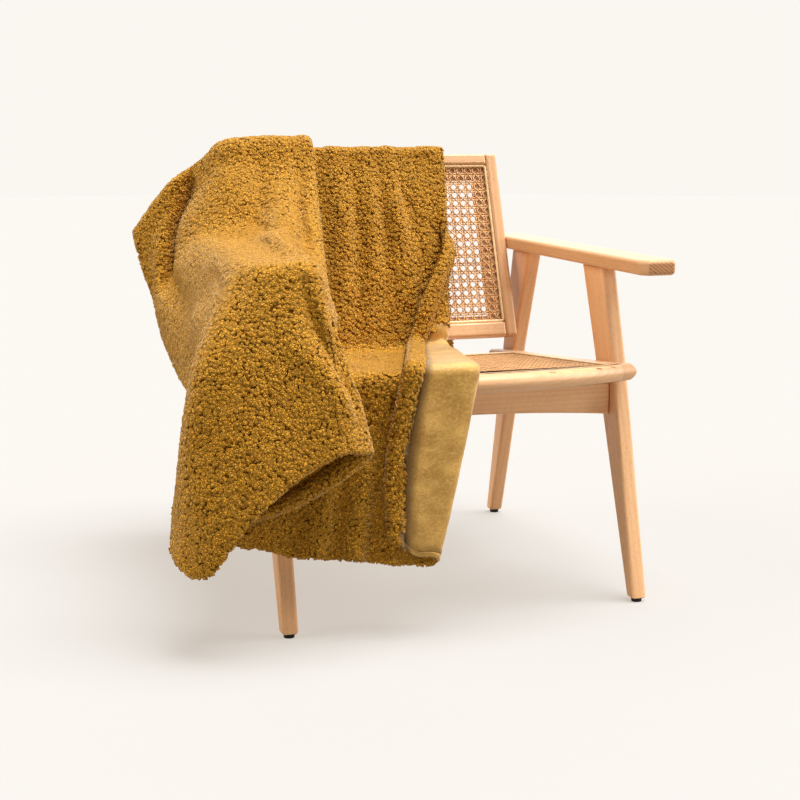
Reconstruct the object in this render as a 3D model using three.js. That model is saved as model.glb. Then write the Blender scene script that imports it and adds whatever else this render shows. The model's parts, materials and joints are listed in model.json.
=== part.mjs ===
// A two-sided sherpa fleece throw lying over a light open-frame wooden chair with cane seat and back.
// Millimetres, +Z up. X runs to the right of someone who looks at the chair's front, Y runs to its back.
// The throw is a curly outer panel and a smooth plush inner panel, sewn together 0.3 mm apart.
import * as THREE from "three";

// ---------- driving dimensions ----------
const GAP = 0.3; // between pieces that touch

// chair
const HALF_WIDTH = 320; // to the outer edge of an arm
const ARM = { inner: 260, top: 556, thick: 24, front: -45, rear: 585 };
const LEG = { inner: 277, outer: 303 };
const GLIDE = { radius: 9, height: 6 };
const SEAT = { z85: 381, slope: 0.09, rail: 30, halfIn: 247, rear: 430 }; // height of the seat 85 mm behind the front feet, fall to the rear
const BOW = { front: -53, rise: 92, half: 298, band: 27, thick: 28 }; // the front rail, curved in plan
const BACK = { lean: 20.1, foot: [444, 380], half: 259.7, height: 347, thick: 24, stile: 21, top: 20, bottom: 26 };
const CANE = 3;

// throw
const SHERPA = 6; // pile and backing of the outer panel
const PLUSH = 2.5; // inner panel
const SIDE_HEM = 28; // outer panel turned over the side edges
const END_HEM = 9; // and over the rear end; the front end's own widths are in its table
const REST = 5; // from the chair to the seam surface between the panels

// ---------- small vector helpers ----------
const add = (a, b, k = 1) => [a[0] + b[0] * k, a[1] + b[1] * k, a[2] + b[2] * k];
const sub = (a, b) => add(a, b, -1);
const dot = (a, b) => a[0] * b[0] + a[1] * b[1] + a[2] * b[2];
const len = (a) => Math.hypot(a[0], a[1], a[2]);
const unit = (a) => {
  const l = len(a) || 1;
  return [a[0] / l, a[1] / l, a[2] / l];
};
const cross = (a, b) => [a[1] * b[2] - a[2] * b[1], a[2] * b[0] - a[0] * b[2], a[0] * b[1] - a[1] * b[0]];
const lerp = (a, b, t) => add(a, sub(b, a), t);

// ---------- chair surfaces that the throw lies on ----------
const lean = THREE.MathUtils.degToRad(BACK.lean);
const backFront = [0, -Math.cos(lean), Math.sin(lean)]; // out of the back's front face
const backUp = [0, Math.sin(lean), Math.cos(lean)];
const seatTop = (y) => SEAT.z85 - SEAT.slope * (y - 85);
const bowFront = (x) => BOW.front + BOW.rise * (x / BOW.half) ** 2;
// a point at a height z and a distance out from the back's front face
const onBack = (x, z, out) => {
  const s = (z - BACK.foot[1] - out * backFront[2]) / backUp[2];
  return [x, BACK.foot[0] + s * backUp[1] + out * backFront[1], z];
};
const onSeat = (x, y, out) => [x, y, seatTop(y) + out];
const seatCorner = (x, out) => {
  const y = BACK.foot[0] - out / Math.cos(lean) - (BACK.foot[1] - seatTop(430) - out) * Math.tan(lean);
  return onSeat(x, y, out);
};
const frontCorner = (x, out) => [x, bowFront(x) - out, seatTop(bowFront(x)) + out];
// over the top rail: behind, rear edge, top, front edge and in front, lifted by what lies under it
const overRail = (x, lift) => {
  const out = REST + lift;
  const corner = [x, BACK.foot[0] + BACK.height * backUp[1], BACK.foot[1] + BACK.height * backUp[2]];
  const rear = add(corner, backFront, -BACK.thick);
  return [
    { p: [x, rear[1] + out, rear[2] - 16], run: [0, 0, 1] },
    { p: add(rear, unit(sub(backUp, backFront)), out + 1), run: unit(add(backUp, backFront)) },
    { p: add(add(corner, backFront, -BACK.thick / 2), backUp, out + 1), run: backFront },
    { p: add(corner, unit(add(backUp, backFront)), out + 1), run: unit(sub(backFront, backUp)) },
    { p: add(add(corner, backUp, -10), backFront, out), run: backUp.map((v) => -v) },
  ];
};

// ---------- the drape: one row for each hem, fold or ripple of the throw, from the right hem to the left ----------
// behind the chair and over the top rail
const BEHIND = [
  { line: "right hem", rearHem: [190, 604, 335], rearMid: [172, 602, 520], rail: overRail(150, 0) },
  { line: "hem seam", rearHem: [169, 605, 334], rearMid: [151, 603, 520], rail: overRail(130, 1) },
  { line: "turned margin", rearHem: [148, 605, 333], rearMid: [130, 603, 520], rail: overRail(109, 1) },
  { line: "right fold", rearHem: [124, 602, 331], rearMid: [108, 600, 519], rail: overRail(87, 0) },
  { line: "under the margin", rearHem: [100, 598, 329], rearMid: [86, 598, 518], rail: overRail(66, 0) },
  { line: "first ripple", rearHem: [72, 612, 328], rearMid: [62, 606, 518], rail: overRail(46, 3) },
  { line: "first hollow", rearHem: [46, 599, 327], rearMid: [38, 599, 518], rail: overRail(24, 0) },
  { line: "second ripple", rearHem: [16, 614, 326], rearMid: [10, 607, 517], rail: overRail(0, 2) },
  { line: "second hollow", rearHem: [-14, 599, 325], rearMid: [-20, 599, 517], rail: overRail(-28, 0) },
  { line: "third ripple", rearHem: [-46, 614, 323], rearMid: [-50, 607, 516], rail: overRail(-56, 2) },
  { line: "third hollow", rearHem: [-78, 599, 321], rearMid: [-82, 599, 516], rail: overRail(-86, 0) },
  { line: "under the swath", rearHem: [-145, 604, 319], rearMid: [-150, 602, 515], rail: overRail(-158, 2) },
  { line: "left hidden fold", rearHem: [-205, 604, 316], rearMid: [-215, 604, 514], rail: overRail(-225, 6.5) },
  { line: "hidden layer", rearHem: [-150, 624, 312], rearMid: [-160, 616, 515], rail: overRail(-165, 13.5) },
  { line: "front fold", rearHem: [-108, 634, 308], rearMid: [-112, 622, 516], rail: overRail(-106, 17) },
  { line: "inner hollow", rearHem: [-134, 644, 304], rearMid: [-138, 630, 515], rail: overRail(-130, 20.5) },
  { line: "inner ridge", rearHem: [-158, 656, 300], rearMid: [-164, 636, 514], rail: overRail(-158, 22) },
  { line: "middle of the arm", rearHem: [-196, 646, 294], rearMid: [-212, 636, 512], rail: overRail(-208, 20.5) },
  { line: "outer part of the arm", rearHem: [-226, 654, 291], rearMid: [-243, 640, 511], rail: overRail(-240, 18) },
  { line: "outer edge of the arm", rearHem: [-252, 652, 288], rearMid: [-268, 640, 508], rail: overRail(-260, 13) },
  { line: "shoulder", rearHem: [-268, 668, 288], rearMid: [-292, 654, 503], rail: [-283, 589, 708] },
  { line: "valley", rearHem: [-274, 664, 293], rearMid: [-306, 660, 498], rail: [-303, 606, 690] },
  { line: "fin ridge", rearHem: [-290, 672, 302], rearMid: [-325, 668, 490], rail: [-328, 600, 676] },
  { line: "left hem", rearHem: [-326, 664, 322], rearMid: [-364, 656, 468], rail: [-413, 611, 577] },
];
// down the back or the slope above the arm, to the crease
const DOWN = [
  { line: "right hem", backMid: onBack(140, 600, 13), backTurn: onBack(124, 543, 28), backLow: onBack(73, 446, 24), crease: seatCorner(38, 20) },
  { line: "hem seam", backMid: onBack(124, 600, 7), backTurn: onBack(147, 541, 17), backLow: onBack(95, 445, 26), crease: seatCorner(60, 21) },
  { line: "turned margin", backMid: onBack(103, 600, 5), backTurn: onBack(137, 539, 5), backLow: onBack(112, 444, 22), crease: seatCorner(82, 20) },
  { line: "right fold", backMid: onBack(84, 600, 5), backTurn: onBack(112, 537, 5), backLow: onBack(121, 442, 13), crease: seatCorner(116, 13) },
  { line: "under the margin", backMid: onBack(64, 600, 5), backTurn: onBack(88, 536, 5), backLow: onBack(92, 441, 5), crease: seatCorner(70, 5) },
  { line: "first ripple", backMid: onBack(46, 600, 16), backLow: onBack(52, 470, 12), crease: seatCorner(20, 6) },
  { line: "first hollow", backMid: onBack(24, 600, 5), backLow: onBack(14, 470, 5), crease: seatCorner(-8, 5) },
  { line: "second ripple", backMid: onBack(0, 600, 15), backLow: onBack(-14, 470, 11), crease: seatCorner(-36, 6) },
  { line: "second hollow", backMid: onBack(-27, 600, 5), backLow: onBack(-40, 470, 5), crease: seatCorner(-62, 5) },
  { line: "third ripple", backMid: onBack(-54, 600, 17), backLow: onBack(-64, 470, 12), crease: seatCorner(-88, 6) },
  { line: "third hollow", backMid: onBack(-84, 600, 5), backLow: onBack(-94, 470, 5), crease: seatCorner(-116, 5) },
  { line: "under the swath", backMid: onBack(-155, 600, 9), backLow: onBack(-162, 470, 9), crease: seatCorner(-178, 9) },
  { line: "left hidden fold", backMid: onBack(-222, 600, 12), backLow: onBack(-228, 470, 12), crease: seatCorner(-236, 12) },
  { line: "hidden layer", backMid: [-178, 490, 606], backLow: [-200, 392, 508], crease: [-222, 300, 430] },
  { line: "front fold", backMid: [-120, 456, 614], backLow: [-146, 330, 543], crease: [-180, 190, 505] },
  { line: "inner hollow", backMid: [-142, 462, 616], backLow: [-168, 352, 558], crease: [-202, 216, 528] },
  { line: "inner ridge", backMid: [-172, 440, 620], backLow: [-200, 338, 578], crease: [-236, 205, 565] },
  { line: "middle of the arm", backMid: [-220, 484, 630], backLow: [-234, 450, 586], crease: [-262, 402, 562] },
  { line: "outer part of the arm", backMid: [-248, 496, 650], backLow: [-264, 466, 600], crease: [-292, 440, 563] },
  { line: "outer edge of the arm", backMid: [-274, 530, 668], backLow: [-298, 500, 608], crease: [-324, 486, 560] },
  { line: "shoulder", backMid: [-294, 564, 646], backLow: [-324, 540, 598], crease: [-352, 502, 522] },
  { line: "valley", backMid: [-312, 606, 624], backLow: [-338, 586, 572], crease: [-353, 546, 492] },
  { line: "fin ridge", backMid: [-347, 582, 608], backLow: [-367, 562, 558], crease: [-380, 528, 474] },
  { line: "left hem", backMid: [-404, 592, 519], backLow: [-385, 566, 455], crease: [-381, 500, 395] },
];
// over the seat or the arm, to the front edge; near lies between, where it isn't halfway
const ACROSS = [
  { line: "right hem", mid: onSeat(-40, 190, 20), edge: frontCorner(-126, 19) },
  { line: "hem seam", mid: onSeat(-18, 190, 22), edge: frontCorner(-104, 21) },
  { line: "turned margin", mid: onSeat(4, 190, 22), edge: frontCorner(-78, 21) },
  { line: "right fold", mid: onSeat(54, 190, 13), edge: frontCorner(-13, 13) },
  { line: "under the margin", mid: onSeat(0, 190, 5), edge: frontCorner(-66, 6.5) },
  { line: "first ripple", mid: onSeat(-40, 190, 6), edge: frontCorner(-104, 6) },
  { line: "first hollow", mid: onSeat(-66, 190, 5), edge: frontCorner(-130, 5) },
  { line: "second ripple", mid: onSeat(-92, 190, 6), edge: frontCorner(-156, 6) },
  { line: "second hollow", mid: onSeat(-118, 190, 5), edge: frontCorner(-180, 5) },
  { line: "third ripple", mid: onSeat(-142, 190, 6), edge: frontCorner(-204, 6) },
  { line: "third hollow", mid: onSeat(-168, 190, 5), edge: frontCorner(-228, 5) },
  { line: "under the swath", mid: onSeat(-208, 190, 9), edge: frontCorner(-257, 9) },
  { line: "left hidden fold", mid: onSeat(-243, 190, 12), edge: frontCorner(-284, 12) },
  { line: "hidden layer", mid: [-234, 112, 430], edge: [-258, -22, 428] },
  { line: "front fold", mid: [-207, 62, 485], near: [-214, 22, 474], edge: [-240, -50, 464] },
  { line: "inner hollow", mid: [-226, 76, 522], near: [-230, 28, 514], edge: [-243, -40, 512] },
  { line: "inner ridge", mid: [-249, 60, 564], near: [-251, 10, 564], edge: [-266, -54, 562] },
  { line: "middle of the arm", mid: [-288, 170, 562], near: [-294, 60, 561], edge: [-300, -51, 562] },
  { line: "outer part of the arm", mid: [-312, 190, 562], near: [-322, 70, 561], edge: [-334, -42, 560] },
  { line: "outer edge of the arm", mid: [-336, 240, 556], near: [-349, 120, 554], edge: [-362, 2, 548] },
  { line: "shoulder", mid: [-358, 290, 498], near: [-364, 160, 500], edge: [-386, 48, 492] },
  { line: "valley", mid: [-362, 310, 462], near: [-384, 170, 462], edge: [-392, 62, 446] },
  { line: "fin ridge", mid: [-374, 320, 416], near: [-378, 190, 408], edge: [-402, 84, 396] },
  { line: "left hem", mid: [-382, 350, 352], near: [-384, 240, 336], edge: [-404, 126, 318] },
];
// down the front to the end hem; turned is how far the outer panel is turned over there, steps the strips to the next row
const FRONT = [
  { line: "right hem", hangMid: [-150, -52, 300], hangLow: [-157, -54, 225], endHem: [-152, -56, 158], turned: 9 },
  { line: "hem seam", hangMid: [-124, -60, 298], hangLow: [-134, -62, 220], endHem: [-134, -63, 146], turned: 9 },
  { line: "turned margin", hangMid: [-98, -66, 296], hangLow: [-110, -66, 214], endHem: [-114, -66, 130], turned: 9, steps: 2 },
  { line: "right fold", hangMid: [-35, -65, 300], hangLow: [-54, -65, 210], endHem: [-77, -66, 118], fold: true, turned: 9, steps: 1 },
  { line: "under the margin", hangMid: [-90, -51, 298], hangLow: [-102, -50, 205], endHem: [-114, -46, 113], turned: 9, steps: 1 },
  { line: "first ripple", hangMid: [-130, -48, 297], hangLow: [-140, -50, 205], endHem: [-148, -52, 118], turned: 9, steps: 1 },
  { line: "first hollow", hangMid: [-155, -34, 297], hangLow: [-166, -32, 206], endHem: [-176, -30, 119], turned: 9, steps: 1 },
  { line: "second ripple", hangMid: [-180, -38, 297], hangLow: [-191, -42, 207], endHem: [-202, -44, 126], turned: 9, steps: 1 },
  { line: "second hollow", hangMid: [-204, -24, 297], hangLow: [-216, -22, 208], endHem: [-228, -20, 124], turned: 9, steps: 1 },
  { line: "third ripple", hangMid: [-228, -26, 298], hangLow: [-242, -28, 210], endHem: [-255, -30, 130], turned: 9, steps: 1 },
  { line: "third hollow", hangMid: [-254, -14, 300], hangLow: [-270, -12, 213], endHem: [-286, -10, 130], turned: 9, steps: 1 },
  { line: "under the swath", hangMid: [-290, -8, 305], hangLow: [-311, -8, 224], endHem: [-333, -8, 145], turned: 9, steps: 1 },
  { line: "left hidden fold", hangMid: [-326, -6, 312], hangLow: [-352, -8, 236], endHem: [-380, -12, 164], fold: true, turned: 14, steps: 2 },
  { line: "hidden layer", hangMid: [-270, -34, 360], hangLow: [-274, -46, 292], endHem: [-278, -58, 223], turned: 28, steps: 2 },
  { line: "front fold", hangMid: [-221, -68, 404], hangLow: [-202, -74, 345], endHem: [-189, -78, 286], fold: true, turned: 28, steps: 1 },
  { line: "inner hollow", hangMid: [-238, -66, 436], hangLow: [-216, -84, 364], endHem: [-204, -96, 297], turned: 28, steps: 1 },
  { line: "inner ridge", hangMid: [-250, -78, 452], hangLow: [-232, -94, 376], endHem: [-224, -106, 303], turned: 28, steps: 2 },
  { line: "middle of the arm", hangMid: [-312, -80, 450], hangLow: [-297, -96, 366], endHem: [-280, -108, 283], turned: 28, steps: 2 },
  { line: "outer part of the arm", hangMid: [-366, -74, 440], hangLow: [-374, -94, 330], endHem: [-372, -106, 212], turned: 28, steps: 2 },
  { line: "outer edge of the arm", hangMid: [-424, -54, 430], hangLow: [-450, -60, 290], endHem: [-444, -76, 130], turned: 28, steps: 2 },
  { line: "shoulder", hangMid: [-428, -8, 400], hangLow: [-453, -36, 262], endHem: [-458, -64, 137], turned: 28, steps: 2 },
  { line: "valley", hangMid: [-426, 22, 352], hangLow: [-453, -16, 240], endHem: [-463, -55, 143], turned: 28, steps: 2 },
  { line: "fin ridge", hangMid: [-418, 52, 310], hangLow: [-452, 6, 222], endHem: [-466, -44, 150], turned: 28, steps: 2 },
  { line: "left hem", hangMid: [-416, 84, 250], hangLow: [-450, 26, 196], endHem: [-462, -8, 166], turned: 28 },
];
// strips between one crosswise line and the next, and how softly the cloth bends
const STRIPS = [3, 3, 1, 1, 1, 1, 2, 1, 2, 1, 1, 1, 2, 2, 1, 1, 1, 2, 2, 2];
const ROUND = { rail: 22, crease: 26, edge: 17 };

// a sharp bend made into points on a soft one, each with the direction the cloth runs there
const soften = (before, at, after, r, count = 3) => {
  const into = unit(sub(at, before));
  const out = unit(sub(after, at));
  return Array.from({ length: count }, (_, i) => {
    const t = i / (count - 1);
    const p = add(add(at, into, -r * (1 - t) ** 2), out, r * t ** 2);
    return { p, run: unit(add(add([0, 0, 0], into, 1 - t), out, t)) };
  });
};
const free = (p) => ({ p });
const lines = FRONT.map((front, i) => {
  const behind = BEHIND[i];
  const down = DOWN[i];
  const across = ACROSS[i];
  const near = across.near ?? lerp(across.mid, across.edge, 0.5);
  const onRail = typeof behind.rail[0] === "object";
  return [
    free(behind.rearHem),
    free(behind.rearMid),
    ...(onRail ? behind.rail : soften(behind.rearMid, behind.rail, down.backMid, ROUND.rail, 5)),
    free(down.backMid),
    free(down.backTurn ?? lerp(down.backMid, down.backLow, 0.5)),
    free(down.backLow),
    ...soften(down.backLow, down.crease, across.mid, ROUND.crease),
    free(across.mid),
    free(near),
    ...soften(near, across.edge, front.hangMid, ROUND.edge),
    free(front.hangMid),
    free(front.hangLow),
    free(front.endHem),
  ];
});

// ---------- the seam surface: smooth curves through the rows, in both directions ----------
// a curve through points, with tangents from the chords on either side unless the point gives its own
const curve = (points) => {
  const n = points.length;
  const d = points.slice(1).map((q, i) => Math.max(len(sub(q.p, points[i].p)), 1e-6));
  const slope = d.map((l, i) => add([0, 0, 0], sub(points[i + 1].p, points[i].p), 1 / l));
  const tangent = points.map((q, i) => {
    if (q.run) return q.run;
    if (i === 0) return slope[0];
    if (i === n - 1) return slope[n - 2];
    return lerp(slope[i], slope[i - 1], d[i] / (d[i - 1] + d[i]));
  });
  const at = (s) => {
    const i = Math.min(n - 2, Math.max(0, Math.floor(s)));
    const t = s - i;
    const h = [2 * t ** 3 - 3 * t ** 2 + 1, t ** 3 - 2 * t ** 2 + t, -2 * t ** 3 + 3 * t ** 2, t ** 3 - t ** 2];
    return add(
      add(add(add([0, 0, 0], points[i].p, h[0]), tangent[i], h[1] * d[i]), points[i + 1].p, h[2]),
      tangent[i + 1],
      h[3] * d[i],
    );
  };
  // the place on the curve that lies a given way from its start, or from its end
  const from = (way, end) => {
    const step = 0.02;
    let s = end ? n - 1 : 0;
    let here = at(s);
    for (let left = way; ; ) {
      const next = at(end ? s - step : s + step);
      const l = len(sub(next, here));
      if (l >= left) return end ? s - (step * left) / l : s + (step * left) / l;
      left -= l;
      s += end ? -step : step;
      here = next;
    }
  };
  return { at, from, n };
};
// marks across a hem: its edge, its rounding, its seam and where the inner panel starts
const hemMarks = (width) => [0, Math.min(4, width / 3), width, width + 0.35, width + 1];
// every place on a curve where the cloth gets a row of points; first and last name the rows that the hems reach to
const marks = (c, steps, near, far, first, last) => {
  const inner = [];
  const stops = [near[near.length - 1], ...Array.from({ length: last - first + 1 }, (_, i) => first + i), far[0]];
  stops.forEach((s, i) => {
    if (i && s <= stops[i - 1]) throw new Error(`a row lies too near the hem: ${stops[i - 1]} ${s}`);
  });
  for (let i = 0; i < stops.length - 1; i++) {
    const count = steps[Math.min(i ? first + i - 1 : 0, steps.length - 1)] ?? 1;
    for (let k = i ? 0 : 1; k < count; k++) inner.push(stops[i] + ((stops[i + 1] - stops[i]) * k) / count);
  }
  return [...near, ...inner, ...far];
};

// turn a fold row into a half-round of five rows, as wide as its two layers stand apart
const FOLD = { least: 3.75, most: 9, room: 0.42, turn: [-1, -0.5, 0, 0.5, 1] };
const roundFold = (before, at, after) => {
  const into = unit(sub(at.p, before.p));
  const out = unit(sub(after.p, at.p));
  const along = unit(add(into, out));
  const angle = Math.acos(Math.max(-1, Math.min(1, dot(into, out))));
  const room = FOLD.room * Math.min(len(sub(at.p, before.p)), len(sub(after.p, at.p)));
  const r = Math.max(FOLD.least, Math.min(FOLD.most, room, Math.abs(dot(sub(after.p, before.p), along)) / 2));
  const centre = unit(sub(out, into));
  const rho = (Math.PI * r) / Math.max(angle, 0.02);
  return FOLD.turn.map((k) => {
    const a = (k * angle) / 2;
    return { p: add(add(at.p, along, rho * Math.sin(a)), centre, rho * (1 - Math.cos(a))), run: at.run };
  });
};
const columns = []; // one list of points down the throw for each row of the tables, folds as five
lines.forEach((line, i) => {
  const { fold, turned, steps } = FRONT[i];
  if (!fold) columns.push({ points: line, turned, steps });
  else {
    const arcs = line.map((q, k) => roundFold(lines[i - 1][k], q, lines[i + 1][k]));
    FOLD.turn.forEach((_, f) => columns.push({ points: arcs.map((arc) => arc[f]), turned, steps: f < FOLD.turn.length - 1 ? 1 : steps }));
  }
});
const grid = []; // grid[row][column]
const down = columns.map(({ points, turned }) => {
  const c = curve(points);
  const near = hemMarks(END_HEM).map((m) => c.from(m, false));
  const far = hemMarks(turned).map((m) => c.from(m, true)).reverse();
  return marks(c, STRIPS, near, far, 1, c.n - 2).map((s) => c.at(s));
});
const columnSteps = columns.map((c) => c.steps);
for (let r = 0; r < down[0].length; r++) {
  const c = curve(down.map((line) => ({ p: line[r] })));
  const near = hemMarks(SIDE_HEM).map((m) => c.from(m, false));
  const far = hemMarks(SIDE_HEM).map((m) => c.from(m, true)).reverse();
  grid.push(marks(c, columnSteps, near, far, 2, c.n - 2).map((s) => c.at(s)));
}
const ROWS = grid.length;
const COLS = grid[0].length;

// outward direction of the curly side at each point
const normals = grid.map((row, r) =>
  row.map((_, c) => {
    const across = sub(grid[r][Math.min(COLS - 1, c + 1)], grid[r][Math.max(0, c - 1)]);
    const along = sub(grid[Math.min(ROWS - 1, r + 1)][c], grid[Math.max(0, r - 1)][c]);
    return unit(cross(across, along));
  }),
);
const shell = (outer, inner, r0, r1, c0, c1) => {
  const rows = r1 - r0 + 1;
  const cols = c1 - c0 + 1;
  const vertices = [];
  for (const side of [outer, inner])
    for (let r = r0; r <= r1; r++)
      for (let c = c0; c <= c1; c++) vertices.push(...add(grid[r][c], normals[r][c], side(r, c)));
  const id = (side, r, c) => side * rows * cols + r * cols + c;
  const faces = [];
  for (let r = 0; r < rows - 1; r++)
    for (let c = 0; c < cols - 1; c++) {
      const [a, b, d, e] = [id(0, r, c), id(0, r, c + 1), id(0, r + 1, c + 1), id(0, r + 1, c)];
      faces.push(a, b, d, a, d, e);
      const [f, g, h, i] = [id(1, r, c), id(1, r, c + 1), id(1, r + 1, c + 1), id(1, r + 1, c)];
      faces.push(f, h, g, f, i, h);
    }
  const rim = (a, b) => faces.push(id(0, ...a), id(1, ...a), id(1, ...b), id(0, ...a), id(1, ...b), id(0, ...b));
  for (let c = 0; c < cols - 1; c++) {
    rim([0, c], [0, c + 1]);
    rim([rows - 1, c + 1], [rows - 1, c]);
  }
  for (let r = 0; r < rows - 1; r++) {
    rim([r + 1, 0], [r, 0]);
    rim([r, cols - 1], [r + 1, cols - 1]);
  }
  const g = new THREE.BufferGeometry();
  g.setAttribute("position", new THREE.Float32BufferAttribute(vertices, 3));
  g.setIndex(faces);
  g.computeVertexNormals();
  return g;
};
const inHem = (r, c) => r < 3 || r > ROWS - 4 || c < 3 || c > COLS - 4;
const atEdge = (r, c) => r === 0 || r === ROWS - 1 || c === 0 || c === COLS - 1;
const sherpaShape = shell(
  (r, c) => (atEdge(r, c) ? SHERPA - 2.5 : SHERPA),
  (r, c) => (atEdge(r, c) ? -1 : inHem(r, c) ? -PLUSH - 0.4 : GAP / 2),
  0, ROWS - 1, 0, COLS - 1,
);
const plushShape = shell(() => -GAP / 2, () => -GAP / 2 - PLUSH, 4, ROWS - 5, 4, COLS - 5);

// ---------- materials ----------
const material = (color, roughness, metalness = 0) => new THREE.MeshStandardMaterial({ color, roughness, metalness });
const WOOD = material(0xd9a872, 0.5);
const CANE_LOOK = material(0xd8b27c, 0.6);
const RUBBER = material(0x1b1a19, 0.7);
const SHERPA_LOOK = material(0xbb8b3b, 0.95);
const PLUSH_LOOK = material(0xb8964b, 0.7);

const part = new THREE.Group();
const put = (name, geometry, look, into = part) => {
  const mesh = new THREE.Mesh(geometry, look);
  mesh.name = name;
  into.add(mesh);
  return mesh;
};

// ---------- chair ----------
// a board from its outline, thick in the third direction, with softened edges
const board = (outline, thick, soft = 3) => {
  const shape = new THREE.Shape(outline.map(([a, b]) => new THREE.Vector2(a, b)));
  const g = new THREE.ExtrudeGeometry(shape, {
    depth: thick - 2 * soft, bevelEnabled: true, bevelThickness: soft, bevelSize: soft, bevelOffset: -soft, bevelSegments: 1, steps: 1,
  });
  return g.translate(0, 0, soft);
};
// outline in (Y, Z), thickness along X from x0
const sideBoard = (outline, x0, thick, soft) => {
  const g = board(outline, thick, soft);
  g.applyMatrix4(new THREE.Matrix4().makeBasis(new THREE.Vector3(0, 1, 0), new THREE.Vector3(0, 0, 1), new THREE.Vector3(1, 0, 0)));
  return g.translate(x0, 0, 0);
};
const foot = GLIDE.height + GAP;
const under = ARM.top - ARM.thick - GAP;
const FRONT_LEG = [[-6, foot], [16, foot], [154, 380], [211, under], [135, under], [88, 380]];
const REAR_LEG = [[617, foot], [639, foot], [560, 350], [518, under], [440, under], [507, 350]];
for (const [side, sign] of [["left", -1], ["right", 1]]) {
  const x0 = sign > 0 ? LEG.inner : -LEG.outer;
  put(`leg_front_${side}`, sideBoard(FRONT_LEG, x0, LEG.outer - LEG.inner, 3), WOOD);
  put(`leg_rear_${side}`, sideBoard(REAR_LEG, x0, LEG.outer - LEG.inner, 3), WOOD);
  for (const [end, y] of [["front", 5], ["rear", 628]]) {
    const g = new THREE.CylinderGeometry(GLIDE.radius, GLIDE.radius - 1, GLIDE.height, 20);
    g.rotateX(Math.PI / 2);
    put(`glide_${end}_${side}`, g, RUBBER).position.set((sign * (LEG.inner + LEG.outer)) / 2, y, GLIDE.height / 2);
  }
  const arm = [[ARM.inner, ARM.rear], [ARM.inner, ARM.front + 16], [ARM.inner + 12, ARM.front], [HALF_WIDTH - 6, ARM.front], [HALF_WIDTH, ARM.front + 8], [HALF_WIDTH, ARM.rear - 8], [HALF_WIDTH - 8, ARM.rear]];
  const outline = arm.map(([x, y]) => [sign * x, y]);
  put(`arm_${side}`, board(sign > 0 ? outline : outline.reverse(), ARM.thick, 4), WOOD).position.z = ARM.top - ARM.thick;
}
// seat: rails and cane lie in one plane that falls to the rear
const tilt = Math.atan(SEAT.slope);
const seat = new THREE.Group();
seat.position.set(0, 85, SEAT.z85);
seat.rotation.x = -tilt;
part.add(seat);
const run = (y) => (y - 85) / Math.cos(tilt);
const bowLine = (offset, from, to, parts) =>
  Array.from({ length: parts + 1 }, (_, i) => {
    const x = from + ((to - from) * i) / parts;
    return [x, run(bowFront(x) + offset)];
  });
const innerHalf = SEAT.halfIn - GAP;
put("seat_rail_front", board([
  ...bowLine(0, -BOW.half, BOW.half, 24),
  [BOW.half, run(80)], [innerHalf, run(80)],
  ...bowLine(BOW.band, innerHalf, -innerHalf, 24),
  [-innerHalf, run(80)], [-BOW.half, run(80)],
], BOW.thick, 9), WOOD, seat).position.z = -BOW.thick;
put("seat_cane", board([
  ...bowLine(BOW.band + GAP, -innerHalf + GAP, innerHalf - GAP, 16),
  [innerHalf - GAP, run(SEAT.rear - GAP)], [-innerHalf + GAP, run(SEAT.rear - GAP)],
], CANE, 0.4), CANE_LOOK, seat).position.z = -CANE - 1;
for (const [side, sign] of [["left", -1], ["right", 1]]) {
  const x0 = sign > 0 ? SEAT.halfIn : -LEG.inner + GAP;
  const wide = LEG.inner - GAP - SEAT.halfIn;
  const y0 = run(80) + GAP;
  put(`seat_rail_${side}`, board([[x0, y0], [x0 + wide, y0], [x0 + wide, run(556)], [x0, run(556)]], SEAT.rail, 3), WOOD, seat).position.z = -SEAT.rail;
}
put("seat_rail_rear", board([[-innerHalf, run(SEAT.rear)], [innerHalf, run(SEAT.rear)], [innerHalf, run(SEAT.rear + 26)], [-innerHalf, run(SEAT.rear + 26)]], SEAT.rail, 3), WOOD, seat).position.z = -SEAT.rail;
// apron under the front rail, its lower edge arched
const APRON = { y: 92, thick: 20, top: 347, end: 293, arch: 12 };
{
  const half = LEG.inner - GAP;
  const lower = Array.from({ length: 13 }, (_, i) => {
    const x = -half + (2 * half * i) / 12;
    return [x, APRON.end + APRON.arch * (1 - (x / half) ** 2)];
  });
  const g = board([...lower, [half, APRON.top], [-half, APRON.top]], APRON.thick, 3);
  g.rotateX(Math.PI / 2);
  put("seat_apron", g, WOOD).position.y = APRON.y + APRON.thick;
}
// back: a leaning frame round its cane panel
const back = new THREE.Group();
back.position.set(0, BACK.foot[0], BACK.foot[1]);
back.rotation.x = -lean;
part.add(back);
const frameBar = (name, x0, x1, z0, z1) => {
  const g = board([[x0, z0], [x1, z0], [x1, z1], [x0, z1]], BACK.thick, 3);
  g.rotateX(Math.PI / 2);
  put(name, g, WOOD, back).position.y = BACK.thick;
};
frameBar("back_stile_left", -BACK.half, -BACK.half + BACK.stile, 0, BACK.height);
frameBar("back_stile_right", BACK.half - BACK.stile, BACK.half, 0, BACK.height);
const railHalf = BACK.half - BACK.stile - GAP;
frameBar("back_rail_top", -railHalf, railHalf, BACK.height - BACK.top, BACK.height);
frameBar("back_rail_bottom", -railHalf, railHalf, 0, BACK.bottom);
{
  const [z0, z1] = [BACK.bottom + GAP, BACK.height - BACK.top - GAP];
  const g = board([[-railHalf, z0], [railHalf, z0], [railHalf, z1], [-railHalf, z1]], CANE, 0.4);
  g.rotateX(Math.PI / 2);
  put("back_cane", g, CANE_LOOK, back).position.y = 5 + CANE;
}

// ---------- throw ----------
put("throw_sherpa", sherpaShape, SHERPA_LOOK);
put("throw_plush", plushShape, PLUSH_LOOK);

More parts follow.
